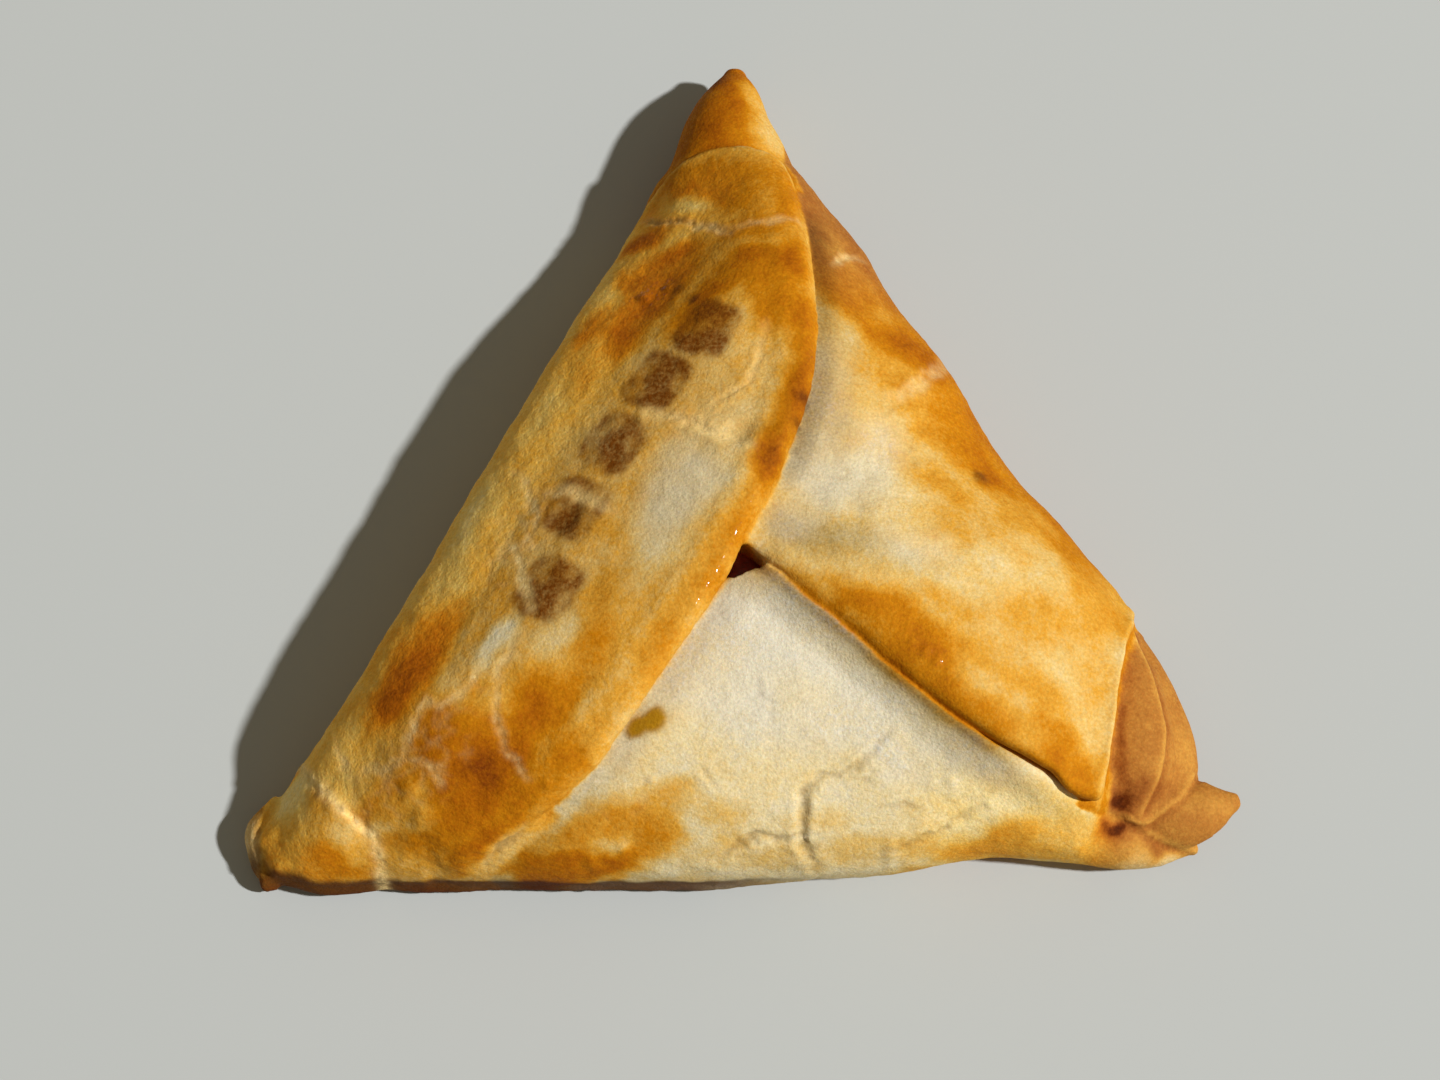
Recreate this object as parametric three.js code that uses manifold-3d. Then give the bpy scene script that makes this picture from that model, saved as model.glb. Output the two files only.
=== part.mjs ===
// A baked three-cornered meat turnover. One round sheet of dough is folded in from three sides over
// a mince filling: the near fold lies lowest, the right-hand fold laps over it, and the left-hand fold
// laps over both, so that the filling shows only through a small gap where the three edges meet.
// Millimetres, +Z up. The origin is under the middle of the piece, on the surface it lies on.
import * as THREE from 'three';
import { LoftGeometry } from 'three/addons/geometries/LoftGeometry.js';
import { mergeVertices } from 'three/addons/utils/BufferGeometryUtils.js';
import Module from 'manifold-3d';

const wasm = await Module();
wasm.setup();

// Driving dimensions.
const HEIGHT = 24; // top of the near fold, in the middle
const WAIST = 7; // level at which the rounded sides stand out furthest
const FOOT_SHARE = 0.93; // share of the outline that rests flat
const SHEET = 3.2; // thickness of the baked dough
const LIP = 3; // length over which a fold's loose edge rounds off
const GAP = 0.3; // between filling and dough

// The dome's section from the waist to the middle: (1 - f^SHOULDER)^(1/CROWN), f running out to the rim.
const SHOULDER = 2.4;
const CROWN = 1.8;

// How finely the surfaces are divided.
const SPOKES = 204;
const RIM_STEPS = 96;
const DOME_STEPS = 14;
const FOOT_STEPS = 4;
const RIB_STEPS = 36;
const SPAN_STEPS = 9;
const NOSE_STEPS = 5;
const HORN_STEPS = 12;
const HORN_SIDES = 18;

// Plan of the parcel at its waist, counter-clockwise from the right-hand corner, and its middle.
const MIDDLE = { x: -0.5, y: -13.5 };
const OUTLINE = [
  [43, -43], [46, -31], [45.7, -20.2], [38.5, -9.7], [30.5, 0], // right-hand side
  [25.1, 10.1], [18, 20.3], [15.1, 26], [10.8, 31],
  [3.4, 40.4], [-7.6, 39.4], // far corner
  [-13.7, 29.8], [-29.1, 1.6], [-43.8, -25.7], [-51, -37], // left-hand side
  [-56, -44.3], [-53, -49.9], // left corner
  [-38, -49.8], [-10, -50.3], [15.5, -49.2], [28, -47.1], [38, -47.6], // near side
];

// Where the parcel has slumped: [x, y, reach] of each place, and the share of the height lost in its middle.
const SLUMPS = [
  { place: [-15, 28, 20], share: 0.28 },
  { place: [-54, -43, 22], share: 0.34 },
];

// Ribs of the two upper folds: plan points on the side where the sheet turns up and on its loose edge,
// and how far the sheet's outer face stands off the dome at each; it starts below the dome's surface.
const LEFT_FOLD = [
  { turn: [-9, 35.4], edge: [5.2, 35.2], rise: [0.6, 1.6] },
  { turn: [-13, 26], edge: [8.2, 18], rise: [-0.8, 2.9] },
  { turn: [-23, 6], edge: [7.5, 2.5], rise: [-1.2, 3.8] },
  { turn: [-31.5, -9.5], edge: [-0.8, -17.4], rise: [-1.2, 3.9] },
  { turn: [-39, -23], edge: [-9.4, -30], rise: [-1.2, 3.6] },
  { turn: [-44.5, -32], edge: [-19, -42.3], rise: [-1.2, 3] },
  { turn: [-49, -40], edge: [-29, -49], rise: [-1.2, 1.8] },
  { turn: [-51, -44], edge: [-35, -50], rise: [-2.4, -2.4] },
];
const RIGHT_FOLD = [
  { turn: [7.3, 35], edge: [0, 36], rise: [-1.2, 0.8] },
  { turn: [15, 22.5], edge: [-1, 20], rise: [-1.2, 0.9] },
  { turn: [22.5, 11], edge: [-4.5, 3], rise: [-1.2, 1.1] },
  { turn: [26.5, 3.6], edge: [-5.5, -13.2], rise: [-1.2, 1.6] },
  { turn: [30, -1.5], edge: [2.8, -18], rise: [-1.2, 2.3] },
  { turn: [35.5, -8.5], edge: [14.2, -26.8], rise: [-1.2, 3.1] },
  { turn: [40.5, -14.5], edge: [28.6, -37.4], rise: [-1, 3.4] },
  { turn: [44.5, -21], edge: [40.2, -42.6], rise: [0.5, 3.4] },
];
const END_EASE = 8; // how quickly the bow of a fold's end dies out along the fold
const COLLAR_BOW = 2.3; // how far the left fold's far end bows out over the far tip
const TAIL_HOLLOW = 0.4; // how far the right fold's near end is drawn in

// Pinched corners, each a run of [x, y, z, half width, half height] from the parcel to the point.
const FAR_TIP = [
  [-1.4, 30, 7.6, 8.6, 7.4], [-1.4, 37, 7.2, 7.8, 6.6], [-1.7, 43, 6.9, 5.6, 5.2],
  [-1.1, 48.1, 6.2, 3.4, 3.4], [-0.9, 51.5, 5.5, 1, 1.2],
];
const RIGHT_CORNER = [
  [[28, -41, 6, 5, 6], [40, -43.5, 5, 4.4, 5], [47, -45, 3.4, 3, 3.3], [52, -45.4, 2.2, 0.7, 0.7]],
  [[42, -38, 5.8, 4.5, 5], [49.5, -41.5, 5, 4.1, 3.6], [53.5, -41.1, 5, 3.3, 2.5], [57, -40.2, 5, 0.7, 0.7]],
  [[43.6, -18, 5, 1.2, 1.5], [46.3, -27, 5, 3.4, 4.2], [47, -36, 4.6, 5.5, 4.6], [45.5, -44.2, 5, 1.8, 1.8]],
  [[40, -18, 7.5, 0.8, 1.5], [43.3, -27, 8.2, 4.4, 5], [43.6, -36.5, 8, 5.8, 5.8], [43, -44.4, 7, 2.4, 2]],
];
const LEFT_CORNER = [
  [[-40, -41.5, 8, 4, 5], [-46, -44, 7.4, 5.4, 6.2], [-51, -45.6, 5.4, 4.6, 4.6],
    [-54.6, -46.4, 3.4, 1.6, 1.8]],
  [[-53, -40.3, 3.8, 1.4, 2.4], [-55.9, -44, 2.7, 2, 2.6], [-54, -49, 2.4, 1.4, 1.8]],
];

// The gap where the loose edges meet, in plan; its left end runs on under the left fold.
const MOUTH = [[2.8, -17.9], [-0.2, -15.8], [-6, -14.5], [-6, -19.6], [-2.6, -19]];
const MOUTH_FLOOR = 12;
const MOUTH_DEPTH = 30;

// Cracks in the crust: plan routes with their width and depth.
const CRACKS = [
  { route: [[16, -35.4], [12, -39.8], [8, -40.9], [6.4, -43.5], [7.8, -48.4]], width: 1.1, depth: 1.8 },
  { route: [[-3, -48.8], [0, -47.1], [3, -46.4], [6.2, -46.5]], width: 0.9, depth: 1.2 },
  { route: [[15.4, -48], [20.2, -45.9], [26.8, -43.5]], width: 0.6, depth: 0.9 },
  { route: [[-10.8, 28.6], [-8.6, 26.6], [-6.2, 25], [-3.2, 22.4]], width: 0.9, depth: 1.1 },
  { route: [[-48.1, -40], [-45.3, -43], [-42.6, -45.4], [-41, -49.5]], width: 1.1, depth: 1.3 },
  { route: [[-29, -28.6], [-31.3, -32], [-34.9, -33.2], [-37, -38.4]], width: 0.7, depth: 0.8 },
];
const CRACK_STEPS = 8;
const CRACK_END = 0.15; // a crack's size at its ends, as a share of its full size
const CRACK_CLEAR = 1.5; // how far a crack's cutter stands out above the crust

// The pocket of filling: how far it keeps in from the rim, and how far it reaches into the corners.
const POCKET_WALL = 5;
const POCKET_REACH = 44;
const POCKET_STEPS = { rim: 48, dome: 8, foot: 2 };

const point = ([x, y, z = 0]) => new THREE.Vector3(x, y, z);
const mix = THREE.MathUtils.lerp;

function spline(points, closed = false) {
  return new THREE.CatmullRomCurve3(points.map(point), closed, 'centripetal');
}

// A solid for joining and cutting, from any closed geometry.
function solid(geometry) {
  const bare = new THREE.BufferGeometry().copy(geometry);
  bare.deleteAttribute('normal');
  bare.deleteAttribute('uv');
  const merged = mergeVertices(bare, 1e-4);
  const corners = merged.index.array;
  const triangles = [];
  for (let i = 0; i < corners.length; i += 3) {
    const [a, b, c] = corners.slice(i, i + 3);
    if (a !== b && b !== c && c !== a) triangles.push(a, b, c);
  }
  const made = new wasm.Manifold(new wasm.Mesh({
    numProp: 3,
    vertProperties: merged.attributes.position.array,
    triVerts: new Uint32Array(triangles),
  }));
  if (made.volume() <= 0) throw new Error('a piece is inside out');
  return made;
}

function geometryOf(made) {
  const mesh = made.getMesh();
  const geometry = new THREE.BufferGeometry();
  geometry.setAttribute('position', new THREE.BufferAttribute(mesh.vertProperties, 3));
  geometry.setIndex(new THREE.BufferAttribute(mesh.triVerts, 1));
  geometry.computeVertexNormals();
  return geometry;
}

// Distance from the middle to the outline, by direction.
const spokes = spline(OUTLINE, true).getPoints(SPOKES)
  .map((p) => ({
    angle: Math.atan2(p.y - MIDDLE.y, p.x - MIDDLE.x),
    reach: Math.hypot(p.x - MIDDLE.x, p.y - MIDDLE.y),
  }))
  .sort((a, b) => a.angle - b.angle);

function rimReach(angle) {
  const after = spokes.findIndex((s) => s.angle > angle);
  const next = spokes[Math.max(after, 0)];
  const last = spokes[after > 0 ? after - 1 : spokes.length - 1];
  const turn = 2 * Math.PI;
  const span = (next.angle - last.angle + turn) % turn;
  const share = span ? ((angle - last.angle + turn) % turn) / span : 0;
  return mix(last.reach, next.reach, share);
}

// Share of its height that the parcel keeps at a place in plan.
function stand(x, y) {
  return SLUMPS.reduce((kept, { place: [px, py, reach], share }) => {
    const near = 1 - Math.min(Math.hypot(x - px, y - py) / reach, 1) ** 2;
    return kept * (1 - share * near ** 2);
  }, 1);
}

// Height of the dome, as a share of its rise above the waist, at a share f of the way to the rim.
const domeShare = (f) => (1 - Math.min(f, 1) ** SHOULDER) ** (1 / CROWN);

function domeHeight(x, y) {
  const out = Math.hypot(x - MIDDLE.x, y - MIDDLE.y);
  const f = out / rimReach(Math.atan2(y - MIDDLE.y, x - MIDDLE.x));
  return stand(x, y) * (WAIST + (HEIGHT - WAIST) * domeShare(f));
}

// A flat-footed dome over an outline given by its reach in each direction.
function parcel({ reach, floor, waist, top, steps }) {
  const profile = [new THREE.Vector2(0, floor)];
  for (let i = 0; i <= steps.foot; i++) {
    const angle = (i / steps.foot) * Math.PI / 2;
    const f = mix(FOOT_SHARE, 1, Math.sin(angle));
    profile.push(new THREE.Vector2(f, mix(waist, floor, Math.cos(angle))));
  }
  for (let i = 1; i <= steps.dome; i++) {
    const f = i < steps.dome ? Math.cos((i / steps.dome) * Math.PI / 2) : 0;
    profile.push(new THREE.Vector2(f, mix(waist, top, domeShare(f))));
  }
  const geometry = new THREE.LatheGeometry(profile, steps.rim).rotateX(Math.PI / 2);
  const at = geometry.attributes.position;
  for (let i = 0; i < at.count; i++) {
    const angle = Math.atan2(at.getY(i), at.getX(i));
    const out = Math.hypot(at.getX(i), at.getY(i)) * reach(angle);
    const x = MIDDLE.x + out * Math.cos(angle);
    const y = MIDDLE.y + out * Math.sin(angle);
    at.setXYZ(i, x, y, mix(floor, at.getZ(i), stand(x, y)));
  }
  return solid(geometry);
}

// One upper fold: a plate that leaves the dome where the sheet turns up and ends in a rounded lip.
function fold(ribs, farBow, nearHollow) {
  const turns = spline(ribs.map((r) => r.turn));
  const edges = spline(ribs.map((r) => r.edge));
  const rises = spline(ribs.map((r) => r.rise));
  const sections = [];
  for (let i = 0; i <= RIB_STEPS; i++) {
    const s = i / RIB_STEPS;
    const turn = turns.getPoint(s);
    const edge = edges.getPoint(s);
    const rise = rises.getPoint(s);
    const across = edge.clone().sub(turn);
    const width = across.length();
    across.normalize();
    const hand = Math.sign(across.x);
    const back = new THREE.Vector3(-across.y * hand, across.x * hand, 0);
    const bow = farBow * (1 - s) ** END_EASE + nearHollow * s ** END_EASE;
    const spot = (w) => turn.clone().addScaledVector(across, w * width)
      .addScaledVector(back, bow * 4 * w * (1 - w));
    const crust = (p, w) => domeHeight(p.x, p.y) + mix(rise.x, rise.y, Math.sqrt(w));
    const lipStart = 1 - LIP / width;
    const section = [];
    for (let j = 0; j <= SPAN_STEPS; j++) {
      const w = lipStart * j / SPAN_STEPS;
      const p = spot(w);
      section.push(p.setZ(crust(p, w)));
    }
    const crest = section.at(-1);
    for (let j = 1; j <= NOSE_STEPS; j++) {
      const angle = Math.PI * j / NOSE_STEPS;
      const p = spot(lipStart + (1 - lipStart) * Math.sin(angle));
      section.push(p.setZ(crest.z - SHEET / 2 * (1 - Math.cos(angle))));
    }
    const root = spot(0);
    section.push(root.setZ(domeHeight(root.x, root.y) - 2 * SHEET));
    sections.push(hand > 0 ? section.reverse() : section);
  }
  return solid(new LoftGeometry(sections, { capStart: true, capEnd: true }));
}

// A pinched point of dough: oval sections along a spline, kept above the surface it lies on.
function horn(stations) {
  const path = spline(stations.map(([x, y, z]) => [x, y, z]));
  const sizes = spline(stations.map(([, , , width, height]) => [width, height]));
  const sections = [];
  for (let i = 0; i <= HORN_STEPS; i++) {
    const s = i / HORN_STEPS;
    const centre = path.getPoint(s);
    const size = sizes.getPoint(s);
    const ahead = path.getTangent(s).setZ(0).normalize();
    const side = new THREE.Vector3(ahead.y, -ahead.x, 0);
    const section = [];
    for (let j = 0; j < HORN_SIDES; j++) {
      const angle = 2 * Math.PI * j / HORN_SIDES;
      const p = centre.clone().addScaledVector(side, size.x * Math.cos(angle));
      section.push(p.setZ(Math.max(0, centre.z + size.y * Math.sin(angle))));
    }
    sections.push(section.reverse());
  }
  return solid(new LoftGeometry(sections, { capStart: true, capEnd: true }));
}

// The prism that opens the gap between the folds.
function mouth() {
  const shape = new THREE.Shape(MOUTH.map(([x, y]) => new THREE.Vector2(x, y)));
  const prism = new THREE.ExtrudeGeometry(shape, { depth: MOUTH_DEPTH, bevelEnabled: false });
  return solid(prism.translate(0, 0, MOUTH_FLOOR));
}

// A wedge that opens a crack along a route on the crust, tapering to nothing at its ends.
function crack({ route, width, depth }, crustHeight) {
  const path = spline(route);
  const sections = [];
  for (let i = 0; i <= CRACK_STEPS; i++) {
    const s = i / CRACK_STEPS;
    const p = path.getPoint(s);
    const ahead = path.getTangent(s);
    const side = new THREE.Vector3(ahead.y, -ahead.x, 0);
    const open = mix(CRACK_END, 1, Math.sin(Math.PI * s));
    const top = crustHeight(p.x, p.y);
    sections.push([
      p.clone().addScaledVector(side, width * open).setZ(top + CRACK_CLEAR),
      p.clone().addScaledVector(side, -width * open).setZ(top + CRACK_CLEAR),
      p.clone().setZ(top - depth * open),
    ].reverse());
  }
  return solid(new LoftGeometry(sections, { capStart: true, capEnd: true }));
}

// Reads the height of a solid's upper surface at a place in plan.
function heightReader(made) {
  const target = new THREE.Mesh(geometryOf(made));
  const down = new THREE.Vector3(0, 0, -1);
  return (x, y) => {
    const ray = new THREE.Raycaster(new THREE.Vector3(x, y, 2 * HEIGHT), down);
    const hits = ray.intersectObject(target);
    return hits.length ? hits[0].point.z : 0;
  };
}

const pocketReach = (angle) => Math.min(rimReach(angle), POCKET_REACH) - POCKET_WALL;

function pocket(clearance) {
  return parcel({
    reach: (angle) => pocketReach(angle) - clearance,
    floor: SHEET + clearance,
    waist: WAIST + SHEET / 2,
    top: HEIGHT - SHEET - clearance,
    steps: POCKET_STEPS,
  });
}

function dough() {
  const steps = { rim: RIM_STEPS, dome: DOME_STEPS, foot: FOOT_STEPS };
  let made = parcel({ reach: rimReach, floor: 0, waist: WAIST, top: HEIGHT, steps });
  for (const stations of [FAR_TIP, ...RIGHT_CORNER, ...LEFT_CORNER]) made = made.add(horn(stations));
  made = made.add(fold(RIGHT_FOLD, 0, TAIL_HOLLOW)).subtract(mouth()).add(fold(LEFT_FOLD, COLLAR_BOW, 0));
  const crustHeight = heightReader(made);
  for (const each of CRACKS) made = made.subtract(crack(each, crustHeight));
  return made.subtract(pocket(0));
}

const baked = new THREE.MeshStandardMaterial({ color: 0xd39a4a, roughness: 0.55, metalness: 0 });
const mince = new THREE.MeshStandardMaterial({ color: 0x4a1f18, roughness: 0.5, metalness: 0 });

const turnover = new THREE.Group();
for (const [name, made, material] of [['dough', dough(), baked], ['filling', pocket(GAP), mince]]) {
  const mesh = new THREE.Mesh(geometryOf(made), material);
  mesh.name = name;
  turnover.add(mesh);
}
const box = new THREE.Box3().setFromObject(turnover);
const under = box.getCenter(new THREE.Vector3()).setZ(box.min.z);
turnover.position.copy(under).negate();

export default turnover;
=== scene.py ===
import math

import bmesh
import bpy
import numpy as np
from mathutils import Euler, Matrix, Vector, noise
from mathutils.bvhtree import BVHTree


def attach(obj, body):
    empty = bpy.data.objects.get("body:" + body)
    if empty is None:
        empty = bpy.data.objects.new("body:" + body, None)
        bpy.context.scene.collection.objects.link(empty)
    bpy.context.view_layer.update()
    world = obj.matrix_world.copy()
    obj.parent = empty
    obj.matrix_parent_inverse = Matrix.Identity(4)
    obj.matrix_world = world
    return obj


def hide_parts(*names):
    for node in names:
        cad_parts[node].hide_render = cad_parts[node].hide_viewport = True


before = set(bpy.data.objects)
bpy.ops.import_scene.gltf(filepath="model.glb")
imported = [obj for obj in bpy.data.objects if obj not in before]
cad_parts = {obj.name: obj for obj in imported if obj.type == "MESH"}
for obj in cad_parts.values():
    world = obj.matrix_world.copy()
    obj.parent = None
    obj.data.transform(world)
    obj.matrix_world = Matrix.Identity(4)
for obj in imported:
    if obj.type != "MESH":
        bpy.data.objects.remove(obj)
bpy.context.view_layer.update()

# How the sheet of dough is folded, as lines in plan, in mm. The left fold laps over all, with its far end
# wrapped round the far tip as a collar. The right fold lies under it and ends in a flap over the twisted
# corner, whose two rolled layers and tail lie one over the other. A seam parts the lumpy cap on the left.
LEFT_EDGE = [
    (-12.5, 30), (-8.7, 34.6), (-5, 36.6), (-1.6, 37.1), (2, 36.4), (5.4, 34.4), (7.4, 27), (8.5, 17.5),
    (8.5, 9.7), (7.9, 2), (4.9, -6.8), (-0.4, -17.9), (-9, -30.5), (-18.6, -42.8), (-28.6, -49.5),
    (-34.6, -50.5),
]
RIGHT_EDGE = [(-5.2, -13.7), (3.1, -18.5), (14.5, -27.3), (28.9, -37.9), (40.5, -43.1)]
FLAP_END = [(40.5, -43.1), (41.4, -37.6), (42.3, -32), (43.5, -26.7), (44.9, -21.5), (47.5, -15)]
SHELL_ARC = [(45, -21), (46.9, -27.3), (47.9, -31.9), (48.2, -34.8), (47.4, -39.4), (45.4, -43.2)]
SHELL_FOOT = [(43.4, -44.3), (45.8, -44.3), (48.1, -43), (49.9, -41.6), (51.3, -39.6), (52.2, -38)]
TAIL_UNDER = [(37, -43), (42.6, -43.6), (44.9, -44.7), (48.3, -46), (51.5, -46.4), (60, -46.6)]
LEFT_SIDE = [(-8, 44), (-13.4, 29.3), (-28.7, 1.1), (-43.4, -26.2), (-50.6, -37.5), (-57, -47)]
CAP_SEAM = [
    (-50.5, -37), (-47.7, -40.6), (-45.8, -42.9), (-43.5, -45), (-41.9, -46.4), (-40.9, -48.4),
    (-40.7, -53),
]

# The cracks that baking opened in the sheet, as lines in plan. Each falls in along its middle, between lips
# that stand up and crumble, and its floor is painted dark, partly as torn crumb and partly as painted
# shade.
CRACKS = [
    # stops, then half width, depth, raised lip, share of pale crumb and share of dark tear with painted
    # shade
    ([(16.5, -36.1), (14, -39), (12.4, -40.4), (10.7, -41), (8.9, -41.3), (7.4, -42)],
     0.34, 0.22, 0.06, 0.1, 0.3),
    ([(8.4, -41.4), (6.7, -43), (6.9, -44.8), (6.6, -46.7), (7.2, -48.1), (8.2, -49.2)],
     0.55, 0.5, 0.1, 0.15, 0.45),
    ([(-2.6, -49.2), (-0.9, -48), (0.4, -47.6), (2.1, -46.8), (4.7, -47.1), (6.2, -47)],
     0.36, 0.3, 0.1, 0.2, 0.45),
    ([(15.8, -48.5), (18.1, -47.5), (20.6, -46.4), (23.4, -45.3), (27.2, -44)],
     0.26, 0.2, 0.06, 0.1, 0.4),
    ([(14.3, -44.7), (16.8, -44), (18.4, -43.5), (19.9, -44.1)], 0.24, 0.15, 0.05, 0.1, 0.3),
    ([(11.8, -40.8), (12.9, -41.4), (14.3, -41.7)], 0.22, 0.14, 0.05, 0.1, 0.3),
    ([(-4.6, -39.9), (-4, -41.2), (-2.8, -42.3)], 0.26, 0.2, 0.1, 0.4, 0.2),
    ([(2.1, -29.4), (2, -32.3), (3.1, -33.4), (3, -35.7)], 0.22, 0.12, 0.04, 0, 0.3),
    ([(-11.6, 29.4), (-9.1, 27.6), (-6.8, 26.8)], 0.34, 0.24, 0.1, 0.5, 0.6),
    ([(-7.2, 27), (-5, 25.6), (-2.8, 24.4), (-1.4, 23.4)], 0.4, 0.12, 0.08, 0.7, 0.3),
    ([(-1, 24.2), (3, 24.6), (7.6, 25.2)], 0.3, 0.04, 0.04, 0.4, 0),
    ([(-28.5, -29.7), (-29.4, -30.8), (-30.5, -32.4), (-31.9, -33.5), (-33.6, -34.2)],
     0.34, 0.04, 0.03, 0.85, 0.1),
    ([(-33.6, -34.2), (-34.8, -33.5), (-35.6, -34.9), (-36.7, -36.8), (-37.3, -39)],
     0.34, 0.04, 0.03, 0.85, 0.1),
    ([(-37.3, -39), (-39.5, -40), (-41.8, -39.8), (-43.4, -41)], 0.34, 0.04, 0.03, 0.6, 0.1),
    ([(-37, -39.6), (-34.6, -40.4), (-33.4, -42.6)], 0.28, 0.05, 0.03, 0.5, 0.1),
    ([(-24.9, -26.3), (-25.7, -28.7), (-27.1, -30.1), (-26.8, -32.1)], 0.34, 0.05, 0.03, 0.85, 0.15),
    ([(-26.8, -32.1), (-27.3, -34.6), (-26.7, -37), (-26.2, -39.1)], 0.26, 0.14, 0.06, 0.6, 0.4),
    ([(-26.2, -39.1), (-24.5, -40.9), (-23.4, -41.9)], 0.24, 0.1, 0.04, 0.5, 0.2),
    ([(-26.4, -13.6), (-25.2, -17), (-24.4, -20), (-23.2, -23.4)], 0.4, 0.03, 0.03, 0.9, 0.05),
    ([(-25.4, -5.6), (-23.6, -9.4), (-23.6, -13.8), (-26.4, -16.4)], 0.36, 0.03, 0.03, 0.8, 0.05),
    ([(-10.6, -0.7), (-8, -1.2), (-5, -2.6), (-2, -4.4), (1.2, -5.4)], 0.45, 0.15, 0.14, 0.75, 0.1),
    ([(-4.4, -1.7), (-1.1, 1.3), (1.3, 3.2), (2.9, 9.9)], 0.3, 0.1, 0.12, 0.5, 0.1),
    ([(-23.2, -8.6), (-18.8, -9.6), (-14.4, -12.6)], 0.5, 0.05, 0.06, 0.6, 0),
    ([(-45, -36.4), (-44.6, -38.6), (-43.4, -40.8)], 0.34, 0.04, 0.03, 0.6, 0.1),
    ([(17, 2.6), (20, 5), (24.4, 11)], 0.6, 0.05, 0.05, 0.5, 0),
    ([(14.6, 0.2), (16.6, 1), (18.8, 3)], 0.22, 0.08, 0.04, 0.1, 0.2),
    ([(11, 20.8), (12.2, 22.6), (14.4, 23.4)], 0.36, 0.1, 0.08, 0.6, 0.1),
    ([(-24, -46.6), (-26.4, -48), (-29, -49.4)], 0.26, 0.2, 0.06, 0.3, 0.5),
]


def route(stops, steps=6):
    """A smooth line in plan through a few stops."""
    stops = np.array(stops, float)
    ends = np.vstack([2 * stops[0] - stops[1], stops, 2 * stops[-1] - stops[-2]])
    line = []
    for a, b, c, d in zip(ends, ends[1:], ends[2:], ends[3:]):
        for t in np.linspace(0, 1, steps, endpoint=False):
            line.append((2 * b + (c - a) * t + (2 * a - 5 * b + 4 * c - d) * t ** 2
                         + (3 * b - a - 3 * c + d) * t ** 3) / 2)
    return np.array([*line, stops[-1]])


def reach(plan, stops):
    """How far left of a line points in plan lie, or right if below 0, and the share of its run."""
    line = route(stops)
    nearest = np.full(len(plan), np.inf)
    side = np.ones(len(plan))
    share = np.zeros(len(plan))
    for step, (start, end) in enumerate(zip(line, line[1:])):
        along = end - start
        t = np.clip((plan - start) @ along / (along @ along), 0, 1)
        off = plan - start - t[:, None] * along
        gap = np.hypot(*off.T)
        closer = gap < nearest
        nearest[closer] = gap[closer]
        side[closer] = np.where(along[0] * off[:, 1] > along[1] * off[:, 0], 1, -1)[closer]
        share[closer] = (step + t[closer]) / (len(line) - 1)
    return nearest * side, share


def ease(value, low, high):
    """0 at low, 1 at high, with a smooth step between."""
    share = np.clip((value - low) / (high - low), 0, 1)
    return share * share * (3 - 2 * share)


# The crust's skin: the solid's own surface, made fine enough to carve, and evened out so that the sheet
# runs smoothly over the mince. The loose edges and the corners keep their form. A pair of levels, here
# and below, says where something is absent and where it is full, in mm unless it says otherwise.
MM = 0.001
SAME_PLACE = 0.002  # mm between corners that are one
SKIN_GRAIN = 0.36  # mm between the skin's points
HIDDEN_SHARE = 0.1  # of the triangles that stay on the underside and round the mince
POCKET_REACH = 0.9  # mm, how close to the mince the inner skin lies
UNDERSIDE = 0.3  # mm, level below which the skin lies on the tray
LEAN_TURNS = 24  # of evening out, for the normals round a point
CREASE = (0.07, 0.2)  # how far a point's own normal leans from those, at a crease
CREASE_TURNS = 5
EDGE_KEPT = 0.9  # share of its form that a loose edge keeps
EDGE_REACH = (3.4, 1.4)
SOFT_LIP = 0.7  # share of that which the right fold's edge gives up where it lies soft
SOFT_REACH = (5, 2.5)
SOFT_START = (5, 11)  # easting
SOFT_END = (34, 22)
CRACK_FREED = 0.8  # share given up beside a crack, which is carved anew
CRACK_REACH = (2.6, 1.2)
CORNERS = [(0, (39, 42), 0.75), (1, (35, 40), 0.7), (0, (-38, -42), 0.6)]  # axis, levels, share kept
BROAD_TURNS = 110
FINE_TURNS = 3


def joined_copy(node, name):
    """A new piece on a solid's own surface, with its loose triangles joined at their corners."""
    skin = bmesh.new()
    skin.from_mesh(node.data)
    bmesh.ops.remove_doubles(skin, verts=skin.verts, dist=SAME_PLACE * MM)
    mesh = bpy.data.meshes.new(name)
    skin.to_mesh(mesh)
    skin.free()
    piece = bpy.data.objects.new(name, mesh)
    bpy.context.scene.collection.objects.link(piece)
    return piece


def settle(piece):
    """Makes what the piece's modifiers show its mesh."""
    shown = piece.evaluated_get(bpy.context.evaluated_depsgraph_get())
    piece.data = bpy.data.meshes.new_from_object(shown)
    piece.modifiers.clear()


def refine(piece, grain):
    """Covers a piece with an even skin of small squares."""
    fine = piece.modifiers.new("fine_skin", "REMESH")
    fine.mode = "VOXEL"
    fine.voxel_size = grain * MM
    fine.use_smooth_shade = True
    settle(piece)


def places(piece):
    """The piece's points and outward normals, points in mm."""
    count = len(piece.data.vertices)
    points = np.empty(3 * count)
    normals = np.empty(3 * count)
    piece.data.vertices.foreach_get("co", points)
    piece.data.vertex_normals.foreach_get("vector", normals)
    return points.reshape(-1, 3) / MM, normals.reshape(-1, 3)


def put_back(piece, points):
    """Moves the piece's points, given in mm."""
    piece.data.vertices.foreach_set("co", (points * MM).ravel())
    piece.data.update()


def edges_of(piece):
    edges = np.empty(2 * len(piece.data.edges), np.int32)
    piece.data.edges.foreach_get("vertices", edges)
    return edges.reshape(-1, 2)


def around(values, edges):
    """The mean of each point's neighbours."""
    start, end = edges.T
    count = np.bincount(edges.ravel(), minlength=len(values))
    sums = [np.bincount(start, column[end], len(values)) + np.bincount(end, column[start], len(values))
            for column in values.T]
    return np.stack(sums, 1) / count[:, None]


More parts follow.
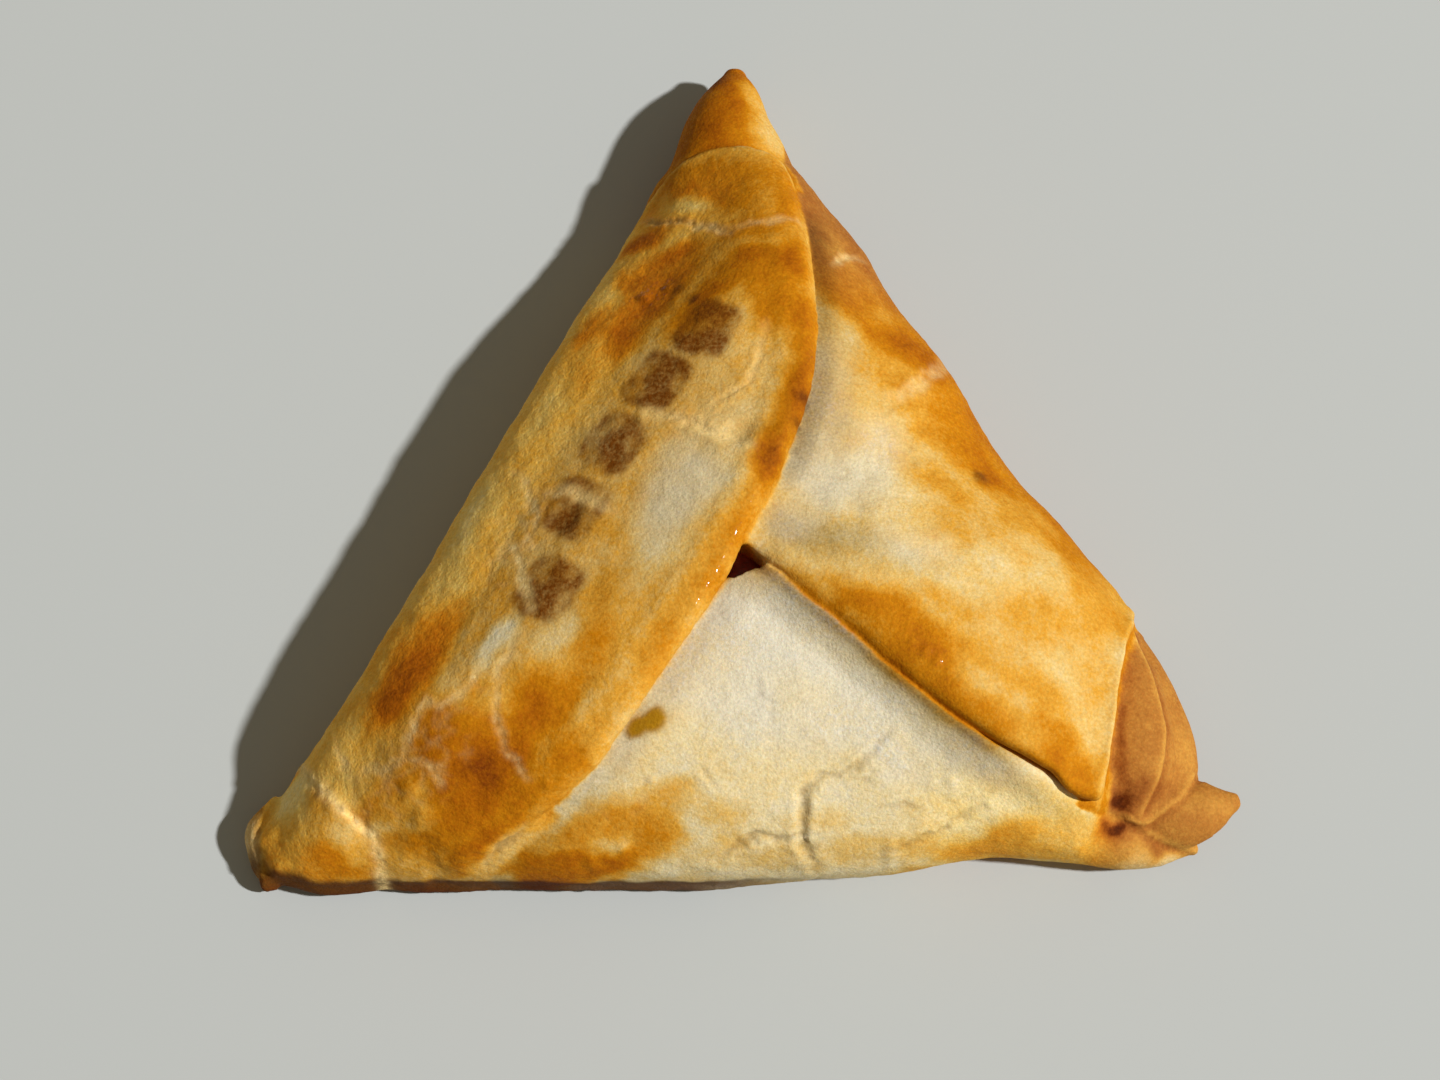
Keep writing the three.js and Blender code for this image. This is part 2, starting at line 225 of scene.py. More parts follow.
def even_out(values, edges, share, times):
    """Moves each point's values, by its own share, half way to its neighbours' mean, some times over."""
    for _ in range(times):
        values = values + share[:, None] / 2 * (around(values, edges) - values)
    return values


def spread(values, edges, times):
    """Values over a mesh, averaged with their neighbours' a number of times."""
    return even_out(values, edges, np.ones(len(values)), times)


mince_skin = BVHTree.FromObject(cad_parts["filling"], bpy.context.evaluated_depsgraph_get())


def lines_pocket(points):
    """Which points lie on the inner skin, against the mince."""
    return np.array([mince_skin.find_nearest(Vector(p) * MM)[3] < POCKET_REACH * MM for p in points])


def away_from(stops):
    """How far the skin's points lie from a line in plan."""
    return abs(reach(at[:, :2], stops)[0])


crust = joined_copy(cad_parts["dough"], "crust")
refine(crust, SKIN_GRAIN)
at, out = places(crust)
edges = edges_of(crust)
lean = spread(out, edges, LEAN_TURNS)
lean = np.linalg.norm(out - lean / np.linalg.norm(lean, axis=1)[:, None], axis=1)
kept = np.minimum(1, 2 * spread(ease(lean, *CREASE)[:, None], edges, CREASE_TURNS)[:, 0])
for stops in (LEFT_EDGE, RIGHT_EDGE, FLAP_END):
    kept = np.maximum(kept, EDGE_KEPT * ease(away_from(stops), *EDGE_REACH))
soft_lip = SOFT_LIP * ease(away_from(RIGHT_EDGE), *SOFT_REACH)
kept *= 1 - soft_lip * ease(at[:, 0], *SOFT_END) * ease(at[:, 0], *SOFT_START)
for stops, *_ in CRACKS:
    kept *= 1 - CRACK_FREED * ease(away_from(stops), *CRACK_REACH)
for axis, levels, share in CORNERS:
    kept = np.maximum(kept, share * ease(at[:, axis], *levels))
at = even_out(at, edges, 1 - kept, BROAD_TURNS)
at = spread(at, edges, FINE_TURNS)
at[:, 2] = np.maximum(at[:, 2], 0)
put_back(crust, at)
hidden = lines_pocket(at) | (at[:, 2] < UNDERSIDE)
group = crust.vertex_groups.new(name="hidden")
group.add(np.flatnonzero(hidden).tolist(), 1, "REPLACE")
thin = crust.modifiers.new("thin", "DECIMATE")
thin.ratio = 1 - (1 - HIDDEN_SHARE) * hidden.mean()
thin.vertex_group = "hidden"
thin.vertex_group_factor = 1000
settle(crust)
crust.vertex_groups.clear()

# Where each part of the sheet lies on the skin. Close to a loose edge a point belongs to the fold above
# where it faces sideways, as the rounded edge does, and to the sheet below where it faces up.
EDGE_SLACK = 0.45  # mm on either side of an edge
FACES_UP = 0.78  # upward share of the normal
CAP_FROM = (-38, -36)  # mm: the cap lies left of the first and nearer than the second
TIP_FROM = (5.4, 33)  # the far tip lies left of the first and beyond the second
STEEP_RUN = (14, 31)  # northing between which the right side falls off steeply below the left fold's edge
STEEP_SLACK = 0.1
CORNER_FROM = 40  # easting
FLAP_RUN = (-44, -21)  # northing

at, out = places(crust)
plan = at[:, :2]
east = at[:, 0]
north = at[:, 1]
high = at[:, 2]
pocket = lines_pocket(at)
points = [Vector(p) for p in at]


def lumps(size, seed):
    """Smooth noise over the skin, about -1 to 1, with lumps of that size in mm."""
    shift = Vector((17.3, 31.7, 7.9)) * seed
    return np.array([noise.noise(p / size + shift) for p in points])


def on_top(inside):
    """Which points belong to the upper sheet, by how far inside its edge they lie."""
    return (inside > EDGE_SLACK) | ((inside > -2 * EDGE_SLACK) & (out[:, 2] < FACES_UP))


left_in = -reach(plan, LEFT_EDGE)[0]
right_in = reach(plan, RIGHT_EDGE)[0]
flap_in = reach(plan, FLAP_END)[0]
arc_in = -reach(plan, SHELL_ARC)[0]
foot_in = reach(plan, SHELL_FOOT)[0]
tail_in = reach(plan, TAIL_UNDER)[0]
cap_in = -reach(plan, CAP_SEAM)[0]
side_in = reach(plan, LEFT_SIDE)[0]
on_cap = (cap_in > 0) & (east < CAP_FROM[0]) & (north < CAP_FROM[1])
below_steep = (left_in < -STEEP_SLACK) & (north > STEEP_RUN[0]) & (north < STEEP_RUN[1])
on_left = on_top(left_in) & ~on_cap & ~below_steep
on_tip = ~on_left & (north > TIP_FROM[1]) & (east < TIP_FROM[0])
on_flap = (on_top(right_in) | (east > CORNER_FROM)) & (on_top(flap_in) | (north > FLAP_RUN[1]))
on_right = ~on_left & ~on_tip & on_flap & (north > FLAP_RUN[0])
on_corner = ~on_right & (tail_in > 0) & (east > CORNER_FROM)
on_near = ~(on_cap | on_left | on_tip | on_right | on_corner)

# What baking did to the skin's form: it swelled unevenly, its loose edges rolled up and crinkled, layers
# drew apart where they lap, it blistered, and it tore along cracks whose lips stand up and crumble. The
# near side's foot sagged out on the tray.
SWELL = [(13, 0.4), (5.5, 0.18), (2.2, 0.09), (0.9, 0.06)]  # size of the lumps and their height, mm
SWELL_LACK = 0.6  # share of it that the far tip and the twisted corner lack
LEFT_RIM = (6, 3.4)  # how far inside the left fold's edge
LEFT_RIM_END = (27, 20)  # northing
LEFT_ROLL = 0.35  # mm that this rim is rolled up
LEFT_ROLL_TURN = (0, 1.5)
RIGHT_RIM = (4.5, 2)  # how far inside the right fold's edge
RIGHT_RIM_START = (-18, -21)  # northing
RIGHT_RIM_END = (36, 30)  # easting
CRINKLE = 0.08  # mm, height of the fine crinkles on both rims
FLANK_FILL = 1.1  # mm that the left side is fuller just inside its outline
FLANK_OUTER = (0.2, 2.6)
FLANK_INNER = (10, 3)
FLANK_FAR = (33, 24)  # northing
FLANK_NEAR = (-42, -34)
LIP_RUN = 3.0  # mm over which the right fold's loose edge rounds off in the solid
LIP_DROP = 1.6  # mm that it falls there
LIP_KEPT = 0.85  # share of that fall that the baked sheet, stiff to its edge, doesn't make
LIP_FACES = (0.05, 0.35)  # upward share of the normal
LIP_SOFT = 0.1  # share of the stiffness where it lies soft
LIP_STIFF = (22, 34)  # easting
LIP_START = (-15, -19)  # northing
LIP_EDGE = (-0.2, 0.25)
STIFF_TURNS = 3
STEP_FILL = 1.3  # mm that the near fold swells up against the right fold's edge
STEP_REACH = (-5, -0.6)
STEP_START = (-17, -20)  # northing
STEP_END = (41, 34)  # easting
HANG_INNER = (3.5, 0.6)  # how far inside an edge it starts to hang out over the fold below
HANG_TURNS = 6
LIP_HANG = 0.6  # mm that the right fold's edge hangs out
LIP_WAY = (-0.55, -0.835)
LIP_OUTER = (-2.4, -0.2)
LIP_HANG_START = (-17.5, -22)  # northing
LIP_HANG_END = (0.5, 3)  # from the flap's end
LIP_BELLY = (22, 10, 6)  # easting of the middle that hangs most, and how far from it that is gone and full
LIP_BELLY_SHARES = (0.9, 0.45)  # of the hang: everywhere, and more in the middle
TONGUE = (38.2, -41.6, 4, 4)  # x, y and half sizes of the flap's end, where it hangs further
TONGUE_HANG = 1.2  # mm
ROLL_HANG = 0.6  # mm that the left fold's edge hangs out
ROLL_WAY = (0.82, -0.57)
ROLL_OUTER = (-2, -0.2)
ROLL_FAR = (-15, -20)  # northing
ROLL_NEAR = (-44, -40)
LAPS = [
    # how far inside the upper layer, run over which it shows, height of its edge
    (left_in, (north > 31) & (east < 6.5), 0.3),
    (flap_in, (east > 38) & (north < -19) & (north > -44), 0.3),
    (arc_in, (east > 44) & (north < -21.5) & (north > -43.5), 0.35),
    (foot_in, (east > 43.5) & (north < -38), 0.4),
    (tail_in, (east > 40) & (east < 54), 0.4),
]
LAP_TURN = 0.3  # mm over which a layer's edge turns down
LAP_WIDTH = 1.1
LAP_HIGHLIGHT_REACH = ((-0.15, 0.1), (0.75, 0.3))  # how far inside a layer its edge takes a painted highlight
LAP_SHADOW_REACH = ((0.1, -0.15), (-1, -0.35))  # and how far outside it a painted shadow lies
LIP_OF_CRACK = 2  # half widths from a crack's middle to its raised lip
CRACK_CRUMB = (2.2, 0.6)  # half widths from its middle
CRACK_TEAR = (1.15, 0.45)
SEAM_WIDTH = 0.6  # mm, half width of the crumbled seam beside the cap
SEAM_ABOVE = 1.2  # mm over the tray
SEAM_TEAR = (0.75, 0.95)  # share of the seam
CRAZED = [
    # finely cracked places: x, y, long half, short half, turn, share of pale crumb, share of dark tear with
    # painted shade
    (-37, -41, 9, 5, 30, 0.25, 0.1), (-25, -14, 8, 4, 58, 0.45, 0), (-5, -3, 6, 4, 57, 0.4, 0.1),
    (-31, -33, 6, 4, 50, 0.15, 0), (13, -5, 8, 6, 0, 0.1, 0.2), (4, -38, 10, 5, 0, 0.1, 0.18),
    (22, -42, 9, 3, -10, 0.1, 0.25), (-13, -42, 6, 3, 20, 0.3, 0.1),
]
BLISTERS = [
    # x, y, radius, height
    (27.6, -5.6, 1, 0.3), (-37, -42.8, 1.5, 0.25), (-35.8, -45.4, 1.6, 0.25), (-11, 16.2, 1.1, 0.25),
    (-8.4, 17, 0.9, 0.25), (20.4, -5.6, 0.7, 0.2), (22.4, -6.4, 0.6, 0.2), (16.8, -48, 1.3, 0.25),
    (-16.8, -49.4, 1.1, 0.2), (-13.2, -48.2, 0.9, 0.2), (23.4, -41.6, 1, 0.2), (19.6, -3.6, 0.5, 0.2),
    (4.4, -3.6, 1.2, 0.3), (24.2, -1, 0.6, 0.2), (25.4, 2.6, 0.5, 0.2), (-10, -41.6, 0.7, 0.2),
    (-21.6, -42.6, 0.8, 0.2), (-19.6, -35.4, 0.6, 0.15), (18.9, -27.6, 0.8, 0.22),
    (20.3, -28.5, 0.7, 0.22), (21.6, -29.6, 0.8, 0.24), (22.9, -30.7, 0.8, 0.22),
    (24.3, -31.5, 0.7, 0.2),
]
HOLLOWS = [
    # x, y, long half, short half, turn in degrees, depth
    (-0.6, -3.6, 3.2, 1.8, 20, 0.5), (10, -15.5, 5, 2.5, -10, 0.35), (12.5, -12, 2, 3.5, 20, 0.25),
    (-19.5, -12.5, 4, 2, 60, 0.25), (-42, -38.5, 4, 2.5, -30, 0.3), (30.5, -43.4, 5, 1.6, -15, 0.35),
    (14, 16, 8, 2, -62, 0.3),
]
EGG_DROP = [(-9.8, -35.4, 1.7, 1.6), (-11.8, -36.1, 1.7, 1.4)]  # two lobes: x, y, half sizes
EGG_DROP_HEIGHT = 0.14
WORN = [(8.4, 24.6, 3), (39.8, -42.2, 4)]  # x, y and radius of places rubbed round
LIP_WORN = 0.9  # as the right fold's edge is
LIP_WORN_REACH = (2.6, 1.2)
LIP_WORN_START = (-18, -21)  # northing
LIP_WORN_END = (-1, 1)  # from the flap's end
WORN_TURNS = 14
FOOT_SPREAD = 1.0  # mm that the foot sagged out
FOOT_ABOVE = (5, 1)  # over the tray
FOOT_FACES = (-0.2, -0.6)  # northward share of the normal
FOOT_FROM = (-40, -46)  # northing
FOOT_END = (12, -4)  # easting
UPWARD_FROM = (0.2, 2)  # over the tray: the underside stays flat


def shifts(size, seed):
    """Noise in plan, as a shift of each point."""
    return np.stack([lumps(size, seed), lumps(size, seed + 1)], 1)


jitter = shifts(2.2, 1) * 0.5 + shifts(0.8, 3) * 0.4
wander = shifts(7, 5) * 1.8 + shifts(2, 7) * 0.6
ragged = wander + 0.7 * jitter
crumbling = lumps(1.1, 9)
fine_crinkle = lumps(0.75, 10)
crazing = ease(abs(lumps(2.6, 51) + 0.4 * lumps(1.2, 52)), 0.1, 0.02)


def oval(x, y, long, short, turn, shift):
    """How far points lie out from a spot, in half sizes of an oval turned by some degrees."""
    dx, dy = (plan + shift - (x, y)).T
    cos, sin = math.cos(math.radians(turn)), math.sin(math.radians(turn))
    return np.hypot((dx * cos + dy * sin) / long, (dy * cos - dx * sin) / short)


def softly(share, times):
    """A share over the skin, evened out so that it starts and ends softly."""
    return spread(share[:, None], skin_edges, times)[:, 0]


skin_edges = edges_of(crust)
form = sum(height * lumps(size, 20 + n) for n, (size, height) in enumerate(SWELL))
form *= 1 - SWELL_LACK * (on_tip | on_corner)
left_rim = on_left * ease(left_in, *LEFT_RIM) * ease(north, *LEFT_RIM_END)
right_rim = on_right * ease(right_in, *RIGHT_RIM)
right_rim = right_rim * ease(north, *RIGHT_RIM_START) * ease(east, *RIGHT_RIM_END)
form += LEFT_ROLL * left_rim * ease(left_in, *LEFT_ROLL_TURN)
flank = on_left * ease(side_in, *FLANK_OUTER) * ease(side_in, *FLANK_INNER)
form += FLANK_FILL * flank * ease(north, *FLANK_FAR) * ease(north, *FLANK_NEAR)
form += CRINKLE * fine_crinkle * np.clip(left_rim + right_rim, 0, 1)
# Along each layer's edge, a band just inside gets a painted highlight and a band just outside gets a
# painted shadow.
lap_highlight = np.zeros(len(at))
lap_shade = np.zeros(len(at))
for inside, run, height in LAPS:
    form += height * run * np.tanh(inside / LAP_TURN) * np.exp(-abs(inside) / LAP_WIDTH)
    lap_highlight = np.maximum(lap_highlight, run * ease(inside, *LAP_HIGHLIGHT_REACH[0]) * ease(inside, *LAP_HIGHLIGHT_REACH[1]))
    lap_shade = np.maximum(lap_shade, run * ease(inside, *LAP_SHADOW_REACH[0]) * ease(inside, *LAP_SHADOW_REACH[1]))
crumb = np.zeros(len(at))
# The dark floor of each crack, of the seam and of crazed places is partly torn crumb and partly painted
# shade.
tear_and_shade = np.zeros(len(at))
for stops, width, depth, lip, crumbly, torn in CRACKS:
    gap, share = reach(plan + jitter, stops)
    gap = abs(gap) / width
    taper = np.sin(math.pi * np.clip(share, 0.05, 0.95)) ** 0.5 * (1 + 0.35 * crumbling)
    form -= depth * np.exp(-gap ** 2) * taper
    form += lip * np.exp(-(gap - LIP_OF_CRACK) ** 2) * taper * (1 + crumbling)
    crumb = np.maximum(crumb, crumbly * ease(gap, *CRACK_CRUMB) * taper * (0.75 + 0.9 * fine_crinkle))
    tear_and_shade = np.maximum(tear_and_shade, torn * ease(gap, *CRACK_TEAR) * np.clip(taper - 0.25 * fine_crinkle, 0, 1))
from_seam = reach(plan + 0.6 * jitter, CAP_SEAM)[0]
seam = np.exp(-(from_seam / SEAM_WIDTH) ** 2) * (east < CAP_FROM[0]) * (high > SEAM_ABOVE)
form += seam * (0.25 * crumbling + 0.2 * fine_crinkle)
crumb = np.maximum(crumb, seam * (0.75 + 0.5 * crumbling))
tear_and_shade = np.maximum(tear_and_shade, 0.8 * ease(seam, *SEAM_TEAR) * ease(crumbling, 0.1, 0.45))
for x, y, long, short, turn, pale, dark in CRAZED:
    crazed = crazing * ease(oval(x, y, long, short, turn, ragged), 1.2, 0.4)
    form -= 0.05 * crazed
    crumb = np.maximum(crumb, pale * crazed)
    tear_and_shade = np.maximum(tear_and_shade, dark * crazed)
for x, y, radius, height in BLISTERS:
    form += height * ease(oval(x, y, radius, radius, 0, jitter * 0.4), 1, 0.1)
for x, y, long, short, turn, depth in HOLLOWS:
    form -= depth * ease(oval(x, y, long, short, turn, wander * 0.4), 1.1, 0.1)
drop = np.zeros(len(at))
for x, y, long, short in EGG_DROP:
    drop = np.maximum(drop, on_near * ease(oval(x, y, long, short, 20, jitter * 0.3), 1.05, 0.8))
form += EGG_DROP_HEIGHT * drop
form *= ~pocket * ease(high, *UPWARD_FROM)
carved = at + out * form[:, None]

from_lip = np.minimum(right_in, flap_in)
rounding = 1 - np.clip(from_lip / LIP_RUN, 0, 1)
stiff = LIP_DROP * (1 - np.sqrt(1 - rounding ** 2)) * LIP_KEPT * on_right * ease(out[:, 2], *LIP_FACES)
stiff *= LIP_SOFT + (1 - LIP_SOFT) * ease(east, *LIP_STIFF)
stiff *= ease(north, *LIP_START) * ease(from_lip, *LIP_EDGE)
step = on_near * ease(right_in, *STEP_REACH) * ease(north, *STEP_START) * ease(east, *STEP_END)
carved[:, 2] += softly(stiff, STIFF_TURNS) + STEP_FILL * step

hang = ease(right_in, *HANG_INNER) * ease(right_in, *LIP_OUTER) * (on_right | on_near)
hang = softly(hang * ease(north, *LIP_HANG_START) * ease(flap_in, *LIP_HANG_END), HANG_TURNS)
belly = ease(abs(east - LIP_BELLY[0]), *LIP_BELLY[1:])
hang *= LIP_BELLY_SHARES[0] + LIP_BELLY_SHARES[1] * belly
carved[:, :2] += LIP_HANG * np.outer(hang, LIP_WAY)
tongue = softly(on_right * ease(oval(*TONGUE, 0, 0), 1, 0.2), HANG_TURNS)
carved[:, :2] += TONGUE_HANG * np.outer(tongue, LIP_WAY)
hang = ease(left_in, *HANG_INNER) * ease(left_in, *ROLL_OUTER)
hang = softly(hang * ease(north, *ROLL_FAR) * ease(north, *ROLL_NEAR), HANG_TURNS)
carved[:, :2] += ROLL_HANG * np.outer(hang, ROLL_WAY)
foot = ease(high, *FOOT_ABOVE) * ease(out[:, 1], *FOOT_FACES)
carved[:, 1] -= FOOT_SPREAD * foot * ease(north, *FOOT_FROM) * ease(east, *FOOT_END)

worn = LIP_WORN * ease(abs(right_in), *LIP_WORN_REACH)
worn *= ease(north, *LIP_WORN_START) * ease(flap_in, *LIP_WORN_END)
for x, y, radius in WORN:
    worn = np.maximum(worn, ease(oval(x, y, radius, radius, 0, 0), 1, 0.5))
carved = even_out(carved, skin_edges, worn, WORN_TURNS)
carved[:, 2] = np.maximum(carved[:, 2], 0)
put_back(crust, carved)

# The browning: the oven toasted what stood proud or was brushed with egg, left the middles of the folds
# pale and floury, and scorched the foot where it met the tray. Plain toasted blots mark the left fold.
# Painted shade darkens the hollows beside and below the folds' edges, a painted highlight and shadow follow
# each layer's edge, and paler tones paint light on the left side, the cap and the near fold's front.
DAB_EDGE = (1.42, 0.2)  # half sizes out from a dab's middle
LAYER_TURNS = 2  # of evening out
LEFT_BASE = 0.38  # toasting from 0, raw white, to 1, dark brown
LEFT_TOAST = [
    # x, y, long half, short half, turn in degrees, toasting
    (-2, 31, 11, 6, 0, 0.66), (6, 28, 4, 2.4, 90, 0.63), (-7, 33.5, 3, 2, 40, 0.6),
    (-5.6, 28.8, 4, 1.6, -30, 0.3), (2, 24, 6, 2.4, 0, 0.62), (1, 18.6, 7, 3, 0, 0.66),
    (-3, 21.2, 3, 2, 0, 0.52), (-3, 25.8, 3, 1.4, 0, 0.42), (6, 18.6, 4, 2.4, 80, 0.78),
    (-8, 18.4, 4, 3, 30, 0.68), (-10.4, 15, 3.4, 2.6, 30, 0.74), (-5.4, 12.4, 4.4, 2.8, 50, 0.66),
    (-13.4, 11, 4, 3, 55, 0.74), (-15.4, 8.6, 3, 2, 58, 0.76), (-11.4, 19, 3, 2.6, 30, 0.72),
    (-11, 25, 3, 2, 40, 0.74), (-16.4, 13, 4, 2, 60, 0.62), (-17.6, 7, 4, 2.6, 58, 0.5),
    (-21.6, 4, 5, 1.8, 60, 0.34), (-24, -1.5, 6, 1.8, 60, 0.32), (-22.6, -11, 8, 2.4, 60, 0.5),
    (-14, 3, 4, 3, 58, 0.45), (-18, -3, 6, 3, 58, 0.36), (-29.6, -10, 7, 1.8, 60, 0.24),
    (-25.4, -11, 5, 2.6, 58, 0.4), (-28.4, -17, 5, 2.6, 58, 0.43), (-34, -20, 5, 1.6, 60, 0.28),
    (-27, -22, 3, 2, 58, 0.44), (-26.6, -27, 3.4, 1.8, 60, 0.1), (-34.6, -25.6, 6, 3.4, 58, 0.68),
    (-39.6, -24.6, 4, 1.4, 60, 0.46), (-30, -26, 4, 2, 58, 0.38), (-38.4, -32, 6, 3.4, 56, 0.8),
    (-43.4, -31, 5, 1.4, 60, 0.44), (-44.6, -36, 3, 2, 60, 0.36), (-39.4, -38, 3, 2.4, 0, 0.42),
    (-33, -38, 4.4, 4, 50, 0.7), (-29, -32.6, 3, 1.6, 60, 0.48), (-29.6, -37, 3.4, 3, 50, 0.72),
    (-23.6, -35.6, 5, 3.4, 55, 0.73), (-20, -34, 4, 2, 55, 0.64), (-16, -28.6, 5, 2.6, 55, 0.57),
    (-29, -42, 6, 4, 50, 0.84), (-32, -44.4, 3.4, 2.6, 30, 0.68), (-25, -44, 3.4, 2.2, 45, 0.68),
    (-20.4, -40, 4, 2, 52, 0.68), (-38, -44, 3, 2, 0, 0.52), (-40, -47.4, 2, 1.8, 0, 0.34),
    (-36, -48, 5, 1.8, 0, 0.62), (-11, -24, 4, 2.2, 55, 0.42), (-16, -22.6, 4, 2.4, 55, 0.52),
    (-19.4, -27, 4, 2, 50, 0.28), (-13, -18.6, 4, 2.4, 55, 0.46), (-14, -14, 3, 2, 57, 0.5),
    (-5, -9, 7, 4, 57, 0.2), (-9.4, -15, 6, 4, 57, 0.22), (-2, -3, 5, 3.6, 60, 0.28),
    (1.4, 5, 5, 3, 70, 0.4), (3.4, 14, 5, 3, 80, 0.68), (6.8, 11, 6, 2.4, 92, 0.7),
    (6.2, 1.4, 6, 2.6, 80, 0.78), (3.2, -6.6, 5, 2.4, 64, 0.77), (-0.6, -14.4, 5, 1.9, 57, 0.6),
    (-5.4, -22.4, 5, 1.8, 55, 0.52), (-9.6, -29, 5, 1.9, 53, 0.56), (-14.6, -35, 5, 1.8, 52, 0.47),
    (-20.6, -42.4, 4, 1.6, 50, 0.58), (-7.6, 22, 3.4, 1.8, 20, 0.74), (1, 20.4, 3, 1.6, 0, 0.74),
    (-11.4, 24.4, 2.4, 1.4, 40, 0.76), (-3, 15.4, 3, 1.6, 20, 0.74), (-29, -47.4, 4, 1.4, 30, 0.76),
    (-34, -35.4, 3, 2, 50, 0.66), (-38, -41, 4, 2, 20, 0.6), (-42, -43.6, 2.4, 1.6, 20, 0.6),
    (-24, -3, 6, 2, 60, 0.44), (-17.4, 12, 5, 1.4, 60, 0.64), (-3, -20.6, 3, 1.6, 57, 0.58),
    (-25, -40, 3, 2, 50, 0.8),
]
RIGHT_BASE = 0.3
RIGHT_TOAST = [
    (9, 5, 14, 4.4, 85, 0.3), (10, -9, 7, 5, 0, 0.16), (16, -8, 4, 5, 0, 0.12),
    (12, 11, 7, 2.6, 100, 0.32), (10.4, 20, 5, 3, 100, 0.66), (13, 17.8, 5, 3, -60, 0.66),
    (13.4, 24, 3, 2, -60, 0.62), (17, 10.6, 6, 3, -54, 0.68), (20.6, 10.6, 6, 2.6, -54, 0.78),
    (17, 5.6, 5, 2.6, -54, 0.5), (21.4, 1.4, 4, 3, -54, 0.5), (24.4, 4, 6, 3, -54, 0.66),
    (18, -1, 2.6, 2, 0, 0.32), (24.8, -1, 4, 3, -50, 0.58), (28.4, -4.8, 6, 2.8, -54, 0.7),
    (20.4, -4, 4, 2.4, -30, 0.36), (24, -8, 3.4, 2.6, -40, 0.52), (29.4, -12, 4, 3, -50, 0.4),
    (23.4, -13, 4.4, 2.6, -20, 0.43), (12.4, -15.8, 5, 2, -10, 0.26), (18.4, -17.6, 5, 2, -10, 0.17),
    (24, -19.4, 5, 3.4, -15, 0.26), (29.4, -18, 4, 2.6, -30, 0.25), (33, -15, 5, 3, -55, 0.34),
    (37, -15.4, 5, 2, -58, 0.58), (43.4, -22.4, 4, 1.6, -62, 0.52), (31.6, -10.6, 4, 2, -54, 0.48),
    (39.6, -20.6, 5, 2.6, -60, 0.5), (35, -24, 5, 4, 0, 0.48), (40, -28.6, 4, 2.6, 80, 0.42),
    (32, -32, 7, 3, -20, 0.49), (29, -27, 5, 4, 0, 0.4), (23.6, -23, 4, 2.6, -20, 0.46),
    (22.4, -27.6, 5, 2.6, -30, 0.52), (17.4, -25.2, 6, 2.6, -34, 0.66),
    (20.6, -29.4, 4, 1.6, -36, 0.72), (12.6, -22.8, 4.4, 1.8, -35, 0.66),
    (8.4, -20.8, 3, 1.2, -35, 0.4), (17.6, -28.8, 6, 1.5, -38, 0.66), (23.4, -33, 6, 1.6, -37, 0.62),
    (28.6, -36, 5, 1.8, -34, 0.58), (35, -37, 5, 2.4, -30, 0.58), (35.6, -39.8, 3, 1.2, -28, 0.7),
    (39, -39.6, 3, 2.4, 0, 0.66), (41, -34, 5, 1.2, 80, 0.32), (7.6, 26, 5, 2, -70, 0.72),
    (9.6, 29.6, 6, 3, -60, 0.72),
]
NEAR_BASE = 0.14
NEAR_TOAST = [
    (3, -25, 11, 6, 0, 0.07), (-5, -29, 6, 4, 50, 0.2), (12, -31, 6, 3, -35, 0.05),
    (1, -35, 5, 4, 0, 0.03), (19, -36, 7, 1.8, -35, 0.12), (-9, -38, 4, 2.4, 40, 0.18),
    (-14, -45.4, 8, 2.2, 20, 0.54), (-19, -46.6, 5, 2, 20, 0.54), (-11, -46, 4, 1.8, 10, 0.56),
    (-7, -43, 3.4, 1.6, 20, 0.38), (-10, -48.2, 4, 2, 8, 0.6), (-16, -49.2, 6, 1, 0, 0.72),
    (-23.6, -47.4, 3, 1.4, 35, 0.42), (-22, -49.4, 6, 1.2, 0, 0.7), (-2, -44, 5, 1.8, 0, 0.29),
    (-0.4, -46.8, 3, 1, 0, 0.33), (6, -48.6, 14, 1.4, 0, 0.27), (9, -45, 4, 1.4, 0, 0.26),
    (13, -47.8, 4, 1.4, 0, 0.28), (18.4, -48, 3, 1, 0, 0.36), (24, -47.6, 4, 1.2, 0, 0.42),
    (31, -46.6, 12, 1.8, 3, 0.46), (29, -46.4, 5, 1.8, 5, 0.54), (30, -42.4, 4, 1.4, -25, 0.22),
    (35, -43, 4, 1.2, -20, 0.24), (38, -45.6, 4, 1.8, -10, 0.36), (42, -46.6, 4, 1.4, 0, 0.52),
    # The spot at (43, -45) is a near-black painted shadow in the gap under the flap's tip.
    (43, -45, 3, 1.2, 0, 0.95), (48, -46.4, 3, 1.2, 0, 0.74), (21, -44.6, 5, 1.4, 15, 0.22),
]
TIP_BASE = 0.66
TIP_TOAST = [
    (-3, 42, 6, 4, 80, 0.74), (-1, 49.5, 3, 2.5, 0, 0.78), (3.8, 41, 6, 2.4, 106, 0.36),
    (1.8, 46, 3, 1.4, 105, 0.42),
]
CAP_BASE = 0.5
CAP_TOAST = [
    (-48, -46, 4, 2.4, 0, 0.42), (-45.6, -48.8, 4, 1.6, 0, 0.68), (-51, -42.6, 2.8, 2.6, 0, 0.2),
    (-44.6, -43.4, 2.4, 1.8, -50, 0.45), (-50, -40.6, 2.6, 1.6, 40, 0.16), (-44.6, -46, 2, 1.6, 0, 0.3),
    (-52, -48, 2.4, 1.4, 0, 0.5), (-56.6, -46, 1.6, 5, 0, 0.12), (-43, -47.4, 1.6, 2, 0, 0.4),
]
CORNER_BASE = 0.6
CORNER_TOAST = [
    (46.4, -41.4, 4, 1.6, 30, 0.76), (50.4, -35, 7, 2, 100, 0.55), (43.6, -36, 7, 0.9, 97, 0.8),
    # The spot at (43, -42.4) is a near-black painted shadow between the flap's end and the rolled layers.
    (52, -41.2, 4, 2, 10, 0.5), (43, -42.4, 1.6, 1.4, 0, 0.95),
]
